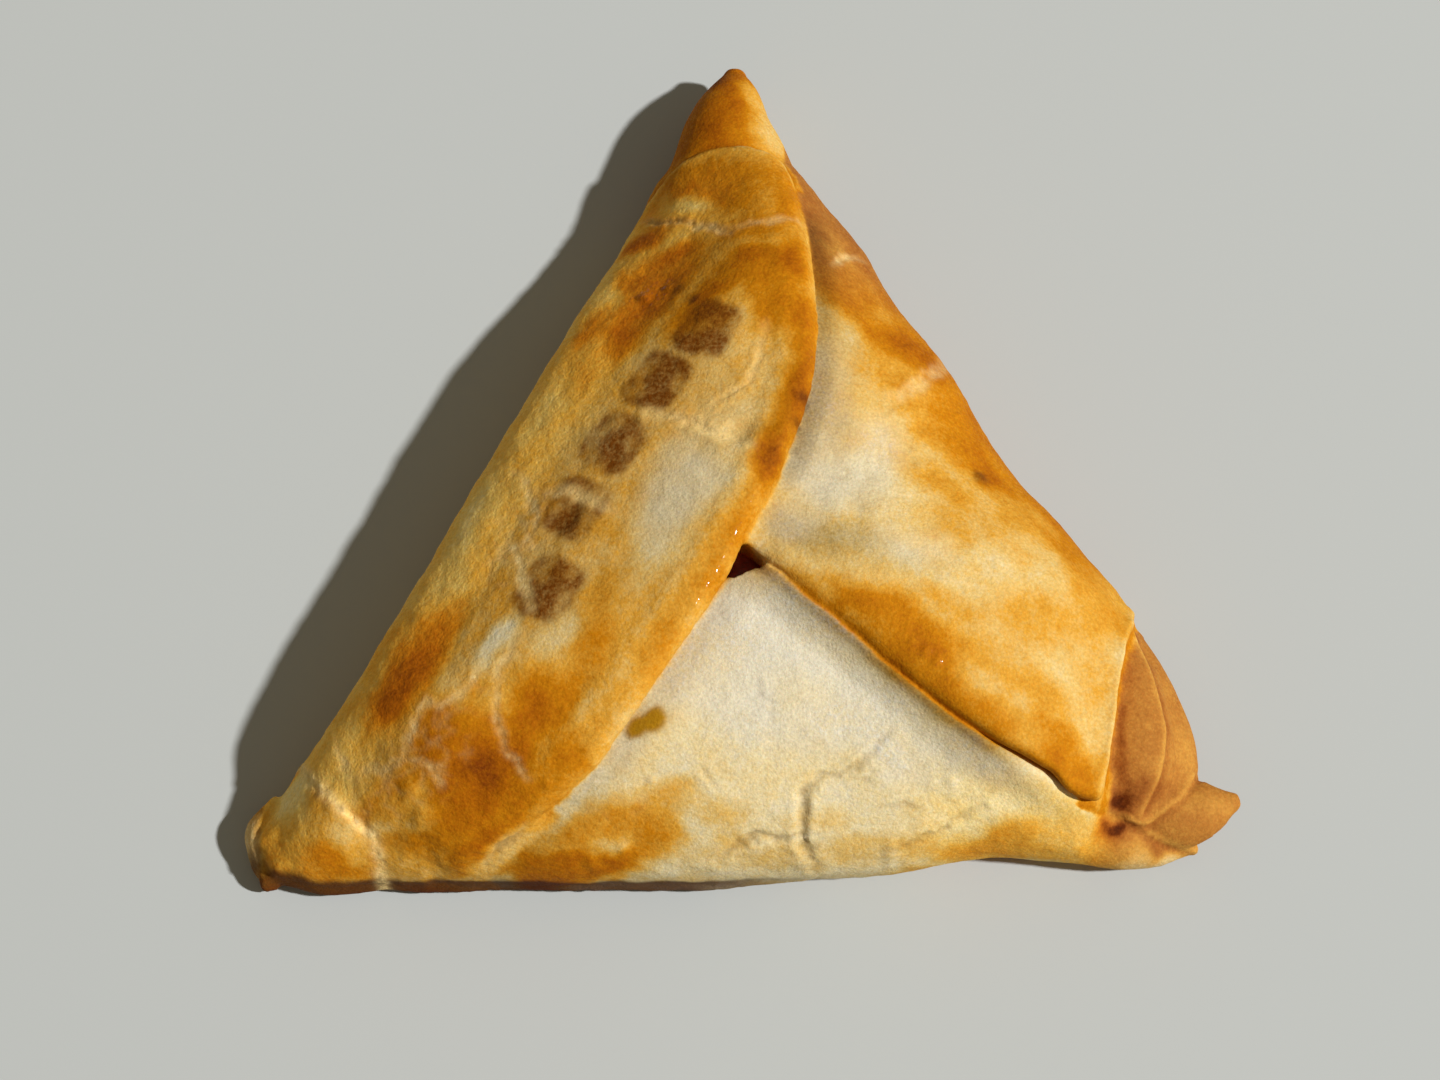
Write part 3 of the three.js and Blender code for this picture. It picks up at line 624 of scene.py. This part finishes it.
LEFT_FLOUR = [
    # the same, with how thickly flour lies
    (-7, -10, 7, 3.6, 58, 0.4), (-2, -3, 4, 4, 0, 0.1),
]
RIGHT_FLOUR = [
    (9, 0, 9, 4, 82, 0.4), (11, -8, 6, 4, 0, 0.5), (16, -4, 4, 4, 0, 0.5), (6, -14, 3, 2, 0, 0.5),
    (19, -16, 5, 2, -10, 0.3),
]
NEAR_FLOUR = [
    (2, -26, 12, 7, 0, 0.9), (-4, -31, 7, 5, 0, 0.6), (14, -33, 9, 3, -35, 0.8),
    (10, -36, 6, 4, 0, 0.8), (16, -39, 5, 2, -30, 0.95), (25, -39, 7, 1.8, -30, 0.6),
    (-13, -38.6, 4, 1.6, 40, 0.4),
]
GLAZED = [
    # the same, with how thickly egg was brushed on
    (-4.2, -20.6, 8, 1.1, 60, 1), (21.6, -29.6, 5, 1.6, -38, 1), (6.8, 6, 5, 0.7, 88, 0.5),
    (-10.4, 16.6, 2, 1.2, 30, 0.8),
]
LEFT_PAINTED_SHADE = [
    # the same, with how much painted shade darkens it
    (-9, -14, 11, 4, 57, 0.18), (-15, -22, 8, 3.4, 57, 0.16), (4.6, -2, 10, 3, 78, 0.14),
]
RIGHT_PAINTED_SHADE = [
    (9, 4, 15, 5, 84, 0.27), (10, -9, 7, 5, 0, 0.13), (9, -15.5, 8, 2.6, -15, 0.36),
    (17.6, -17.6, 5, 2.4, -10, 0.15),
]
# painted shadow on the near fold under the end of the right fold's flap
NEAR_PAINTED_SHADE = [(37, -44, 4, 1.4, -20, 0.2)]
BELOW_LEFT_SHADE = 0.52  # painted shade on the right fold, in the hollow below the left fold's edge
BELOW_LEFT_REACH = (-4.5, -0.6)
BELOW_LEFT_NEAR = (-13, -6)  # northing
BELOW_LEFT_FAR = (30, 24)
BELOW_RIGHT_SHADE = [(0.24, (-5, -1.2)), (0.36, (-2.2, -0.7))]  # painted shadow on the near fold below the right fold's edge: amounts, and how far from the edge
BELOW_RIGHT_END = (33, 26)  # easting
# browning added to that painted shadow below the right fold's edge
BELOW_RIGHT_SHADOW_TOAST = 0.45
BESIDE_LEFT_SHADE = 0.24  # painted shade on the near fold, beside the left fold's edge
BESIDE_LEFT_REACH = (-5, -0.8)
LIP_TOAST = 0.64  # on the right fold's edge
LIP_TOAST_REACH = (1.8, 0.2)
LIP_TOAST_START = (-18, -22)  # northing
SIDE_TOAST = 0.66  # on the right-hand side
SIDE_STEEP = (0.75, 0.5)  # upward share of the normal
SIDE_FACES = (0.2, 0.5)  # eastward share of the normal
SIDE_START = (-26, -10)  # northing
BOTTOM_TOAST = 0.2  # more towards the tray, and half of that on the near fold
BOTTOM_ABOVE = (3, 0.8)
LAP_HIGHLIGHT = (0.3, 0.45)  # toasting that paints a highlight on a layer's edge, and its share
LAP_SHADOW = (0.8, 0.6)  # the same for the painted shadow below the edge
SCORCHED = [
    # x, y, radius
    (27.6, -5.6, 1.1), (6.9, 0.5, 0.9), (6, -2.4, 0.6), (-7.4, 16.4, 1), (-5.6, 14.4, 0.9),
]
SPOT_SCORCH = 0.65
FOOT_SCORCH = 0.9  # on the near side's foot
SCORCH_ABOVE = (7.2, 5.8)  # over the tray
SCORCH_FROM = (-44, -46)  # northing
SCORCH_END = (13, -6)  # easting
BLOTS = [(-21.4, -21.4), (-18.6, -11.6), (-14.4, -3.8), (-9.6, 3.6), (-4, 9.8)]  # their middles
BLOT_HALF = (3.9, 3.4)  # mm along and across the fold
BLOT_EDGE = (1.1, 0.85)  # half sizes
BLOT_WEAR = (-0.4, 0.2)  # level of the noise that wears them
BLOT_LEAST = 0.45
FOLD_TURN = math.radians(58)  # the run of the left fold
DROP_SHINE = 0.6
CRUMB_MATT = 0.8  # share of the shine lost on crumb
SLIVER_FROM = -55  # easting of the sliver of the sheet below, left of the cap
AMBER_REACH = (13, 7)  # from the left side's outline, over which paler tones paint light on it
AMBER_FAR = (36, 28)  # northing
AMBER_CAP = (-45, -51)  # easting
AMBER_ABOVE = 1  # mm over the tray
AMBER_NEAR = 0.5  # share of that painted light on the near fold's front
AMBER_START = (17, 25)  # easting
AMBER_FROM = (-40, -43)  # northing
TAN_START = (38, 44)  # easting on the near fold
TAN_FROM = (12, 26)  # northing on the right fold

toast_and_painted_shading = np.select([on_left, on_right, on_tip, on_cap, on_corner],
                  [LEFT_BASE, RIGHT_BASE, TIP_BASE, CAP_BASE, CORNER_BASE], NEAR_BASE)
flour = np.zeros(len(at))
painted_shade = np.zeros(len(at))
glaze = np.zeros(len(at))


def dab(layer, where, spots):
    """Works soft-edged ovals into a layer of the browning, on one part of the crust."""
    for x, y, long, short, turn, amount in spots:
        layer += (amount - layer) * where * ease(oval(x, y, long, short, turn, wander), *DAB_EDGE)


for layer, where, spots in [
        (toast_and_painted_shading, on_left, LEFT_TOAST), (toast_and_painted_shading, on_right, RIGHT_TOAST), (toast_and_painted_shading, on_near, NEAR_TOAST),
        (toast_and_painted_shading, on_tip, TIP_TOAST), (toast_and_painted_shading, on_cap, CAP_TOAST), (toast_and_painted_shading, on_corner, CORNER_TOAST),
        (flour, on_left, LEFT_FLOUR), (flour, on_right, RIGHT_FLOUR), (flour, on_near, NEAR_FLOUR),
        (painted_shade, on_right, RIGHT_PAINTED_SHADE), (painted_shade, on_left, LEFT_PAINTED_SHADE), (glaze, on_left | on_right, GLAZED)]:
    dab(layer, where, spots)
# Painted shade: on the right fold in the hollow below the left fold's edge, on the near fold beside the
# left fold's edge, and on the near fold below the right fold's edge, where it is browner too.
below_left = ease(left_in, *BELOW_LEFT_REACH) * ease(north, *BELOW_LEFT_NEAR) * ease(north, *BELOW_LEFT_FAR)
below_right = sum(amount * ease(right_in, *levels) for amount, levels in BELOW_RIGHT_SHADE)
below_right *= on_near * ease(east, *BELOW_RIGHT_END)
beside_left = on_near * BESIDE_LEFT_SHADE * ease(left_in, *BESIDE_LEFT_REACH)
painted_shade = np.maximum(painted_shade, BELOW_LEFT_SHADE * on_right * below_left)
painted_shade = np.maximum(painted_shade, np.maximum(beside_left, below_right))
dab(painted_shade, on_near, NEAR_PAINTED_SHADE)
toast_and_painted_shading += BELOW_RIGHT_SHADOW_TOAST * below_right
toast_and_painted_shading += (LIP_TOAST - toast_and_painted_shading) * on_right * ease(right_in, *LIP_TOAST_REACH) * ease(north, *LIP_TOAST_START)
right_side = on_right * ease(out[:, 2], *SIDE_STEEP) * ease(out[:, 0], *SIDE_FACES)
toast_and_painted_shading += (SIDE_TOAST - toast_and_painted_shading) * right_side * ease(north, *SIDE_START)
toast_and_painted_shading += BOTTOM_TOAST * ease(high, *BOTTOM_ABOVE) * (1 - 0.5 * on_near)
# A painted highlight on each layer's edge, and a painted shadow just below it.
toast_and_painted_shading += (LAP_HIGHLIGHT[0] - toast_and_painted_shading) * LAP_HIGHLIGHT[1] * lap_highlight
toast_and_painted_shading += (LAP_SHADOW[0] - toast_and_painted_shading) * LAP_SHADOW[1] * lap_shade
scorch = np.zeros(len(at))
for x, y, radius in SCORCHED:
    spot = oval(x, y, radius, radius, 0, jitter * 0.6)
    scorch = np.maximum(scorch, SPOT_SCORCH * ease(spot, 1.2, 0.3))
foot = ease(high + 0.9 * lumps(3, 31), *SCORCH_ABOVE) * ease(out[:, 1], *FOOT_FACES)
foot = foot * ease(north, *SCORCH_FROM) * ease(east + 3 * lumps(4, 34), *SCORCH_END)
scorch = np.maximum(scorch, FOOT_SCORCH * foot)
mark = np.zeros(len(at))
for x, y in BLOTS:
    dx, dy = (plan + 0.6 * jitter - (x, y)).T
    along = (dx * math.cos(FOLD_TURN) + dy * math.sin(FOLD_TURN)) / BLOT_HALF[0]
    across = (dy * math.cos(FOLD_TURN) - dx * math.sin(FOLD_TURN)) / BLOT_HALF[1]
    mark = np.maximum(mark, on_left * ease((along ** 4 + across ** 4) ** 0.25, *BLOT_EDGE))
mark *= BLOT_LEAST + (1 - BLOT_LEAST) * ease(lumps(2.8, 32) + 0.3 * lumps(1.2, 33), *BLOT_WEAR)
glaze = np.maximum(glaze, DROP_SHINE * drop) * (1 - CRUMB_MATT * crumb)
on_sliver = on_cap & (east < SLIVER_FROM)
# Painted light: paler tones on the left side, the cap and the near fold's front towards the right.
painted_light = on_left * ease(side_in + wander[:, 0] * 0.6, *AMBER_REACH) * ease(north, *AMBER_FAR)
painted_light += (on_cap & ~on_sliver) * ease(east, *AMBER_CAP)
painted_light *= high > AMBER_ABOVE
painted_light = np.maximum(painted_light, AMBER_NEAR * on_near * ease(east, *AMBER_START) * ease(north, *AMBER_FROM))
tan = on_corner + on_sliver + on_near * ease(east, *TAN_START)
tan = np.maximum(tan, on_right * ease(north + 0.5 * wander[:, 0], *TAN_FROM))
for name, values in [
        ("painted_light", painted_light), ("tan", tan), ("toast_and_painted_shading", toast_and_painted_shading), ("flour", flour * (1 - crumb)), ("crumb", crumb),
        ("scorch", scorch), ("mark", mark * (1 - crumb)), ("glaze", glaze), ("painted_shade", painted_shade), ("egg", drop),
        ("tear_and_shade", tear_and_shade)]:
    layer = crust.data.attributes.new(name, "FLOAT", "POINT")
    soft = softly(np.clip(values, 0, 1).astype(float), LAYER_TURNS)
    layer.data.foreach_set("value", soft.astype(np.float32))

# The crust's finish: browned wheat skin, mottled from straw to chestnut, matt where flour lies on it and
# with a thin shine where egg was brushed on. Torn places show the pale crumb. Painted shade darkens the
# hollows, the cracks' floors and the layers' edges, and paler tones paint light on the side away from the
# lamp.
CRUST_TONES = [  # toasting and colour, as seen in white light, on the folds' tops
    (0.0, (218, 208, 182)), (0.15, (222, 202, 153)), (0.3, (216, 179, 104)), (0.45, (210, 152, 52)),
    (0.6, (192, 121, 12)), (0.75, (168, 94, 6)), (0.9, (120, 56, 6)), (1.0, (78, 32, 6)),
]
PAINTED_LIGHT_TONES = [  # paler tones that paint light on the left side, the cap and the near fold's front
    (0.0, (250, 230, 172)), (0.15, (250, 222, 146)), (0.3, (250, 206, 106)), (0.45, (246, 182, 66)),
    (0.6, (232, 147, 28)), (0.75, (202, 112, 14)), (0.9, (140, 66, 8)), (1.0, (90, 40, 6)),
]
CORNER_TONES = [  # towards the right-hand corner, unglazed
    (0.0, (222, 198, 152)), (0.15, (218, 184, 122)), (0.3, (210, 163, 88)), (0.45, (196, 140, 60)),
    (0.6, (175, 115, 47)), (0.75, (150, 88, 34)), (0.9, (98, 44, 10)), (1.0, (70, 28, 6)),
]
FLOUR_TONE = (214, 207, 188)
CRUMB_TONE = (250, 220, 152)
MARK_TONE = (116, 62, 10)
SCORCH_TONE = (76, 32, 12)
EGG_TONE = (168, 120, 16)
TEAR_AND_SHADE_TONE = (112, 76, 30)
MOTTLING = 0.36  # of the toasting, by the broad mottle
SPECKLING = 0.26  # and by the close speckle
FLOUR_BREAKS = (3, -0.8)  # factor and offset on the speckle, where it breaks up the flour
MARK_BREAKS = (1, 0.4)
CRUMB_BREAKS = (2, -0.1)
GRIT_CONTRAST = 0.5  # of the close light and dark grain
ROUGHENING = (0.2, 0.6)  # factor and offset on the speckle
SHINE = 0.8
SHINE_FROM = (0.54, 0.64)  # levels of the speckle between which the egg shines
SHINE_ROUGHNESS = 0.12
GLOW_THROUGH = 0.12  # share of the light that goes into the crumb
GLOW_REACH = 1.5  # mm
GRAIN_DEPTH = 0.15  # mm
GRAIN_STRENGTH = 0.7
GLOSS = 0.04  # of the bare crust


def tone(colour):
    """A colour given from 0 to 255 as light values."""
    values = [c / 255 for c in colour]
    return [*((c / 12.92 if c < 0.04045 else ((c + 0.055) / 1.055) ** 2.4) for c in values), 1]


def put(tree, kind, sockets=(), **settings):
    """A node with its settings, and with values or other nodes' outputs on its sockets."""
    made = tree.nodes.new(kind)
    for name, value in settings.items():
        setattr(made, name, value)
    for socket, value in dict(sockets).items():
        if isinstance(value, bpy.types.NodeSocket):
            tree.links.new(value, made.inputs[socket])
        else:
            made.inputs[socket].default_value = value
    return made


def sum_of(tree, value, factor, offset):
    """value times factor, plus offset."""
    made = put(tree, "ShaderNodeMath", {0: value, 1: factor, 2: offset}, operation="MULTIPLY_ADD")
    return made.outputs[0]


def share_of(tree, value, factor):
    """value times factor, kept from 0 to 1."""
    made = put(tree, "ShaderNodeMath", {0: value, 1: factor}, operation="MULTIPLY", use_clamp=True)
    return made.outputs[0]


def over(tree, share, under, upper):
    """One colour laid over another by a share."""
    return put(tree, "ShaderNodeMix", {0: share, 6: under, 7: upper}, data_type="RGBA").outputs[2]


def ramp_of(tree, value, tones):
    """The colour that a list of places and colours gives for a value."""
    ramp = put(tree, "ShaderNodeValToRGB", {"Fac": value})
    while len(ramp.color_ramp.elements) < len(tones):
        ramp.color_ramp.elements.new(0.5)
    for element, (place, colour) in zip(ramp.color_ramp.elements, tones):
        element.position = place
        element.color = tone(colour)
    return ramp.outputs["Color"]


def skin_layer(tree, name):
    return put(tree, "ShaderNodeAttribute", attribute_name=name).outputs["Fac"]


def noise_of(tree, scale, detail, roughness):
    """Noise from 0 to 1, fixed to the piece."""
    place = put(tree, "ShaderNodeTexCoord").outputs["Object"]
    sockets = {"Vector": place, "Scale": scale, "Detail": detail, "Roughness": roughness}
    return put(tree, "ShaderNodeTexNoise", sockets).outputs["Fac"]


def grain_group():
    """Grain of baked dough: a fine relief, a broad mottling, a close speckle and a closer grit."""
    group = bpy.data.node_groups.new("dough_grain", "ShaderNodeTree")
    for name in ("Relief", "Mottle", "Speckle", "Grit"):
        group.interface.new_socket(name, in_out="OUTPUT", socket_type="NodeSocketFloat")
    mottle = noise_of(group, 240, 5, 0.62)
    speckle = noise_of(group, 1900, 3, 0.65)
    grit = noise_of(group, 3000, 2, 0.5)
    relief = sum_of(group, grit, 0.6, speckle)
    put(group, "NodeGroupOutput", {"Relief": relief, "Mottle": mottle, "Speckle": speckle, "Grit": grit})
    return group


crust_finish = bpy.data.materials.new("crust_finish")
crust_finish.use_nodes = True
tree = crust_finish.node_tree
skin = tree.nodes["Principled BSDF"]
grain = put(tree, "ShaderNodeGroup", node_tree=grain_group()).outputs
speckle = grain["Speckle"]
mottled = sum_of(tree, grain["Mottle"], MOTTLING, skin_layer(tree, "toast_and_painted_shading"))
mottled = sum_of(tree, speckle, SPECKLING, mottled)
mottled = sum_of(tree, mottled, 1, -(MOTTLING + SPECKLING) / 2)
colour = ramp_of(tree, mottled, CRUST_TONES)
# Painted light: paler tones where the left side, the cap and the near fold's front are lit too little.
colour = over(tree, skin_layer(tree, "painted_light"), colour, ramp_of(tree, mottled, PAINTED_LIGHT_TONES))
colour = over(tree, skin_layer(tree, "tan"), colour, ramp_of(tree, mottled, CORNER_TONES))
dusted = share_of(tree, sum_of(tree, speckle, *FLOUR_BREAKS), skin_layer(tree, "flour"))
colour = over(tree, dusted, colour, tone(FLOUR_TONE))
marked = share_of(tree, sum_of(tree, speckle, *MARK_BREAKS), skin_layer(tree, "mark"))
colour = over(tree, marked, colour, tone(MARK_TONE))
colour = over(tree, skin_layer(tree, "egg"), colour, tone(EGG_TONE))
colour = over(tree, skin_layer(tree, "scorch"), colour, tone(SCORCH_TONE))
crumbled = share_of(tree, sum_of(tree, speckle, *CRUMB_BREAKS), skin_layer(tree, "crumb"))
colour = over(tree, crumbled, colour, tone(CRUMB_TONE))
# Crack floors: torn crumb darkened with painted shade.
colour = over(tree, skin_layer(tree, "tear_and_shade"), colour, tone(TEAR_AND_SHADE_TONE))
# The close grit's light and dark grain, less the painted shade layer, scales the colour.
light = sum_of(tree, grain["Grit"], GRIT_CONTRAST, 1 - GRIT_CONTRAST / 2)
light = sum_of(tree, skin_layer(tree, "painted_shade"), -1, light)
colour = put(tree, "ShaderNodeVectorMath", {0: colour, "Scale": light}, operation="SCALE").outputs["Vector"]
tree.links.new(colour, skin.inputs["Base Color"])
tree.links.new(sum_of(tree, speckle, *ROUGHENING), skin.inputs["Roughness"])
levels = {"Value": speckle, "From Min": SHINE_FROM[0], "From Max": SHINE_FROM[1]}
spotty = put(tree, "ShaderNodeMapRange", levels).outputs["Result"]
shine = share_of(tree, skin_layer(tree, "glaze"), spotty)
tree.links.new(share_of(tree, shine, SHINE), skin.inputs["Coat Weight"])
skin.inputs["Coat Roughness"].default_value = SHINE_ROUGHNESS
skin.inputs["Subsurface Weight"].default_value = GLOW_THROUGH
skin.inputs["Subsurface Radius"].default_value = (1, 0.5, 0.25)
skin.inputs["Subsurface Scale"].default_value = GLOW_REACH * MM
skin.inputs["Specular IOR Level"].default_value = GLOSS
relief = {"Strength": GRAIN_STRENGTH, "Distance": GRAIN_DEPTH * MM, "Height": grain["Relief"]}
bump = put(tree, "ShaderNodeBump", relief)
tree.links.new(bump.outputs["Normal"], skin.inputs["Normal"])
crust.data.materials.clear()
crust.data.materials.append(crust_finish)
crust.data.shade_smooth()
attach(crust, "root")
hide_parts("dough")

# The mince: cooked minced meat in its own fat, pressed into the pocket. Only a glimpse of it shows, in the
# gap between the folds.
MINCE_GRAIN = 0.8  # mm between its points
MINCE_LUMPS = [(4.5, 0.7), (2, 0.35)]  # size and depth, mm
MINCE_TONES = [(0.3, (104, 34, 18)), (0.5, (190, 74, 40)), (0.7, (235, 132, 80))]
MINCE_ROUGHENING = (0.4, 0.15)  # factor and offset on the fibres
FIBRE_DEPTH = 0.3  # mm
FIBRE_STRENGTH = 0.6

mince = joined_copy(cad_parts["filling"], "mince")
refine(mince, MINCE_GRAIN)
at, out = places(mince)
points = [Vector(p) for p in at]
sunk = sum(depth * (0.5 + 0.5 * lumps(size, 40 + n)) for n, (size, depth) in enumerate(MINCE_LUMPS))
put_back(mince, at - out * sunk[:, None])
mince_finish = bpy.data.materials.new("mince_finish")
mince_finish.use_nodes = True
tree = mince_finish.node_tree
meat = tree.nodes["Principled BSDF"]
fibres = noise_of(tree, 420, 4, 0.6)
tree.links.new(ramp_of(tree, fibres, MINCE_TONES), meat.inputs["Base Color"])
tree.links.new(sum_of(tree, fibres, *MINCE_ROUGHENING), meat.inputs["Roughness"])
relief = {"Strength": FIBRE_STRENGTH, "Distance": FIBRE_DEPTH * MM, "Height": fibres}
bump = put(tree, "ShaderNodeBump", relief)
tree.links.new(bump.outputs["Normal"], meat.inputs["Normal"])
mince.data.materials.clear()
mince.data.materials.append(mince_finish)
mince.data.shade_smooth()
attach(mince, "root")
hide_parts("filling")

# The floor it lies on: a plain pale sheet, matt, and much larger than the view so that no edge of it shows
# from any side.
FLOOR_SIDE = 6.0  # m
FLOOR_TONE = (0.489, 0.506, 0.494, 1)
FLOOR_ROUGHNESS = 0.9
FLOOR_GLOSS = 0.1

floor_mesh = bpy.data.meshes.new("floor")
sheet = bmesh.new()
bmesh.ops.create_grid(sheet, x_segments=2, y_segments=2, size=FLOOR_SIDE / 2)
sheet.to_mesh(floor_mesh)
sheet.free()
floor = bpy.data.objects.new("floor", floor_mesh)
bpy.context.scene.collection.objects.link(floor)
floor_finish = bpy.data.materials.new("floor_finish")
floor_finish.use_nodes = True
paint = floor_finish.node_tree.nodes["Principled BSDF"]
paint.inputs["Base Color"].default_value = FLOOR_TONE
paint.inputs["Roughness"].default_value = FLOOR_ROUGHNESS
paint.inputs["Specular IOR Level"].default_value = FLOOR_GLOSS
floor_mesh.materials.append(floor_finish)

# The light and the camera: one soft lamp from the right and a little from the front, an even glow all
# round, and a camera that looks down steeply from the near side.
LAMP_TURN = math.radians(-10.5)  # from straight right towards the viewer
LAMP_RISE = math.radians(46)
LAMP_AWAY = 5  # m
LAMP_ACROSS = 0.26
LAMP_POWER = 312  # W
GLOW = (1.0, 0.9, 0.68, 1)
GLOW_STRENGTH = 0.177
LOOKED_AT = Vector((-2.4, -10.96, 10)) * MM
EYE_RISE = math.radians(72)
EYE_AWAY = 0.4  # m
LENS = 86.2  # mm

lamp = bpy.data.objects.new("lamp", bpy.data.lights.new("lamp", "AREA"))
lamp.data.shape = "DISK"
lamp.data.size = LAMP_ACROSS
lamp.data.energy = LAMP_POWER
lamp_way = Euler((0, -LAMP_RISE, LAMP_TURN)).to_matrix() @ Vector((1, 0, 0))
lamp.location = lamp_way * LAMP_AWAY
lamp.rotation_euler = lamp_way.to_track_quat("Z", "Y").to_euler()
bpy.context.scene.collection.objects.link(lamp)
world = bpy.data.worlds.new("glow")
world.use_nodes = True
world.node_tree.nodes["Background"].inputs["Color"].default_value = GLOW
world.node_tree.nodes["Background"].inputs["Strength"].default_value = GLOW_STRENGTH
bpy.context.scene.world = world
bpy.context.scene.view_settings.view_transform = "Standard"
camera = bpy.data.objects.new("camera", bpy.data.cameras.new("camera"))
camera.data.lens = LENS
camera.location = LOOKED_AT + Vector((0, -math.cos(EYE_RISE), math.sin(EYE_RISE))) * EYE_AWAY
camera.rotation_euler = Euler((math.pi / 2 - EYE_RISE, 0, 0))
camera.data.clip_start = 0.01
bpy.context.scene.collection.objects.link(camera)
bpy.context.scene.camera = camera
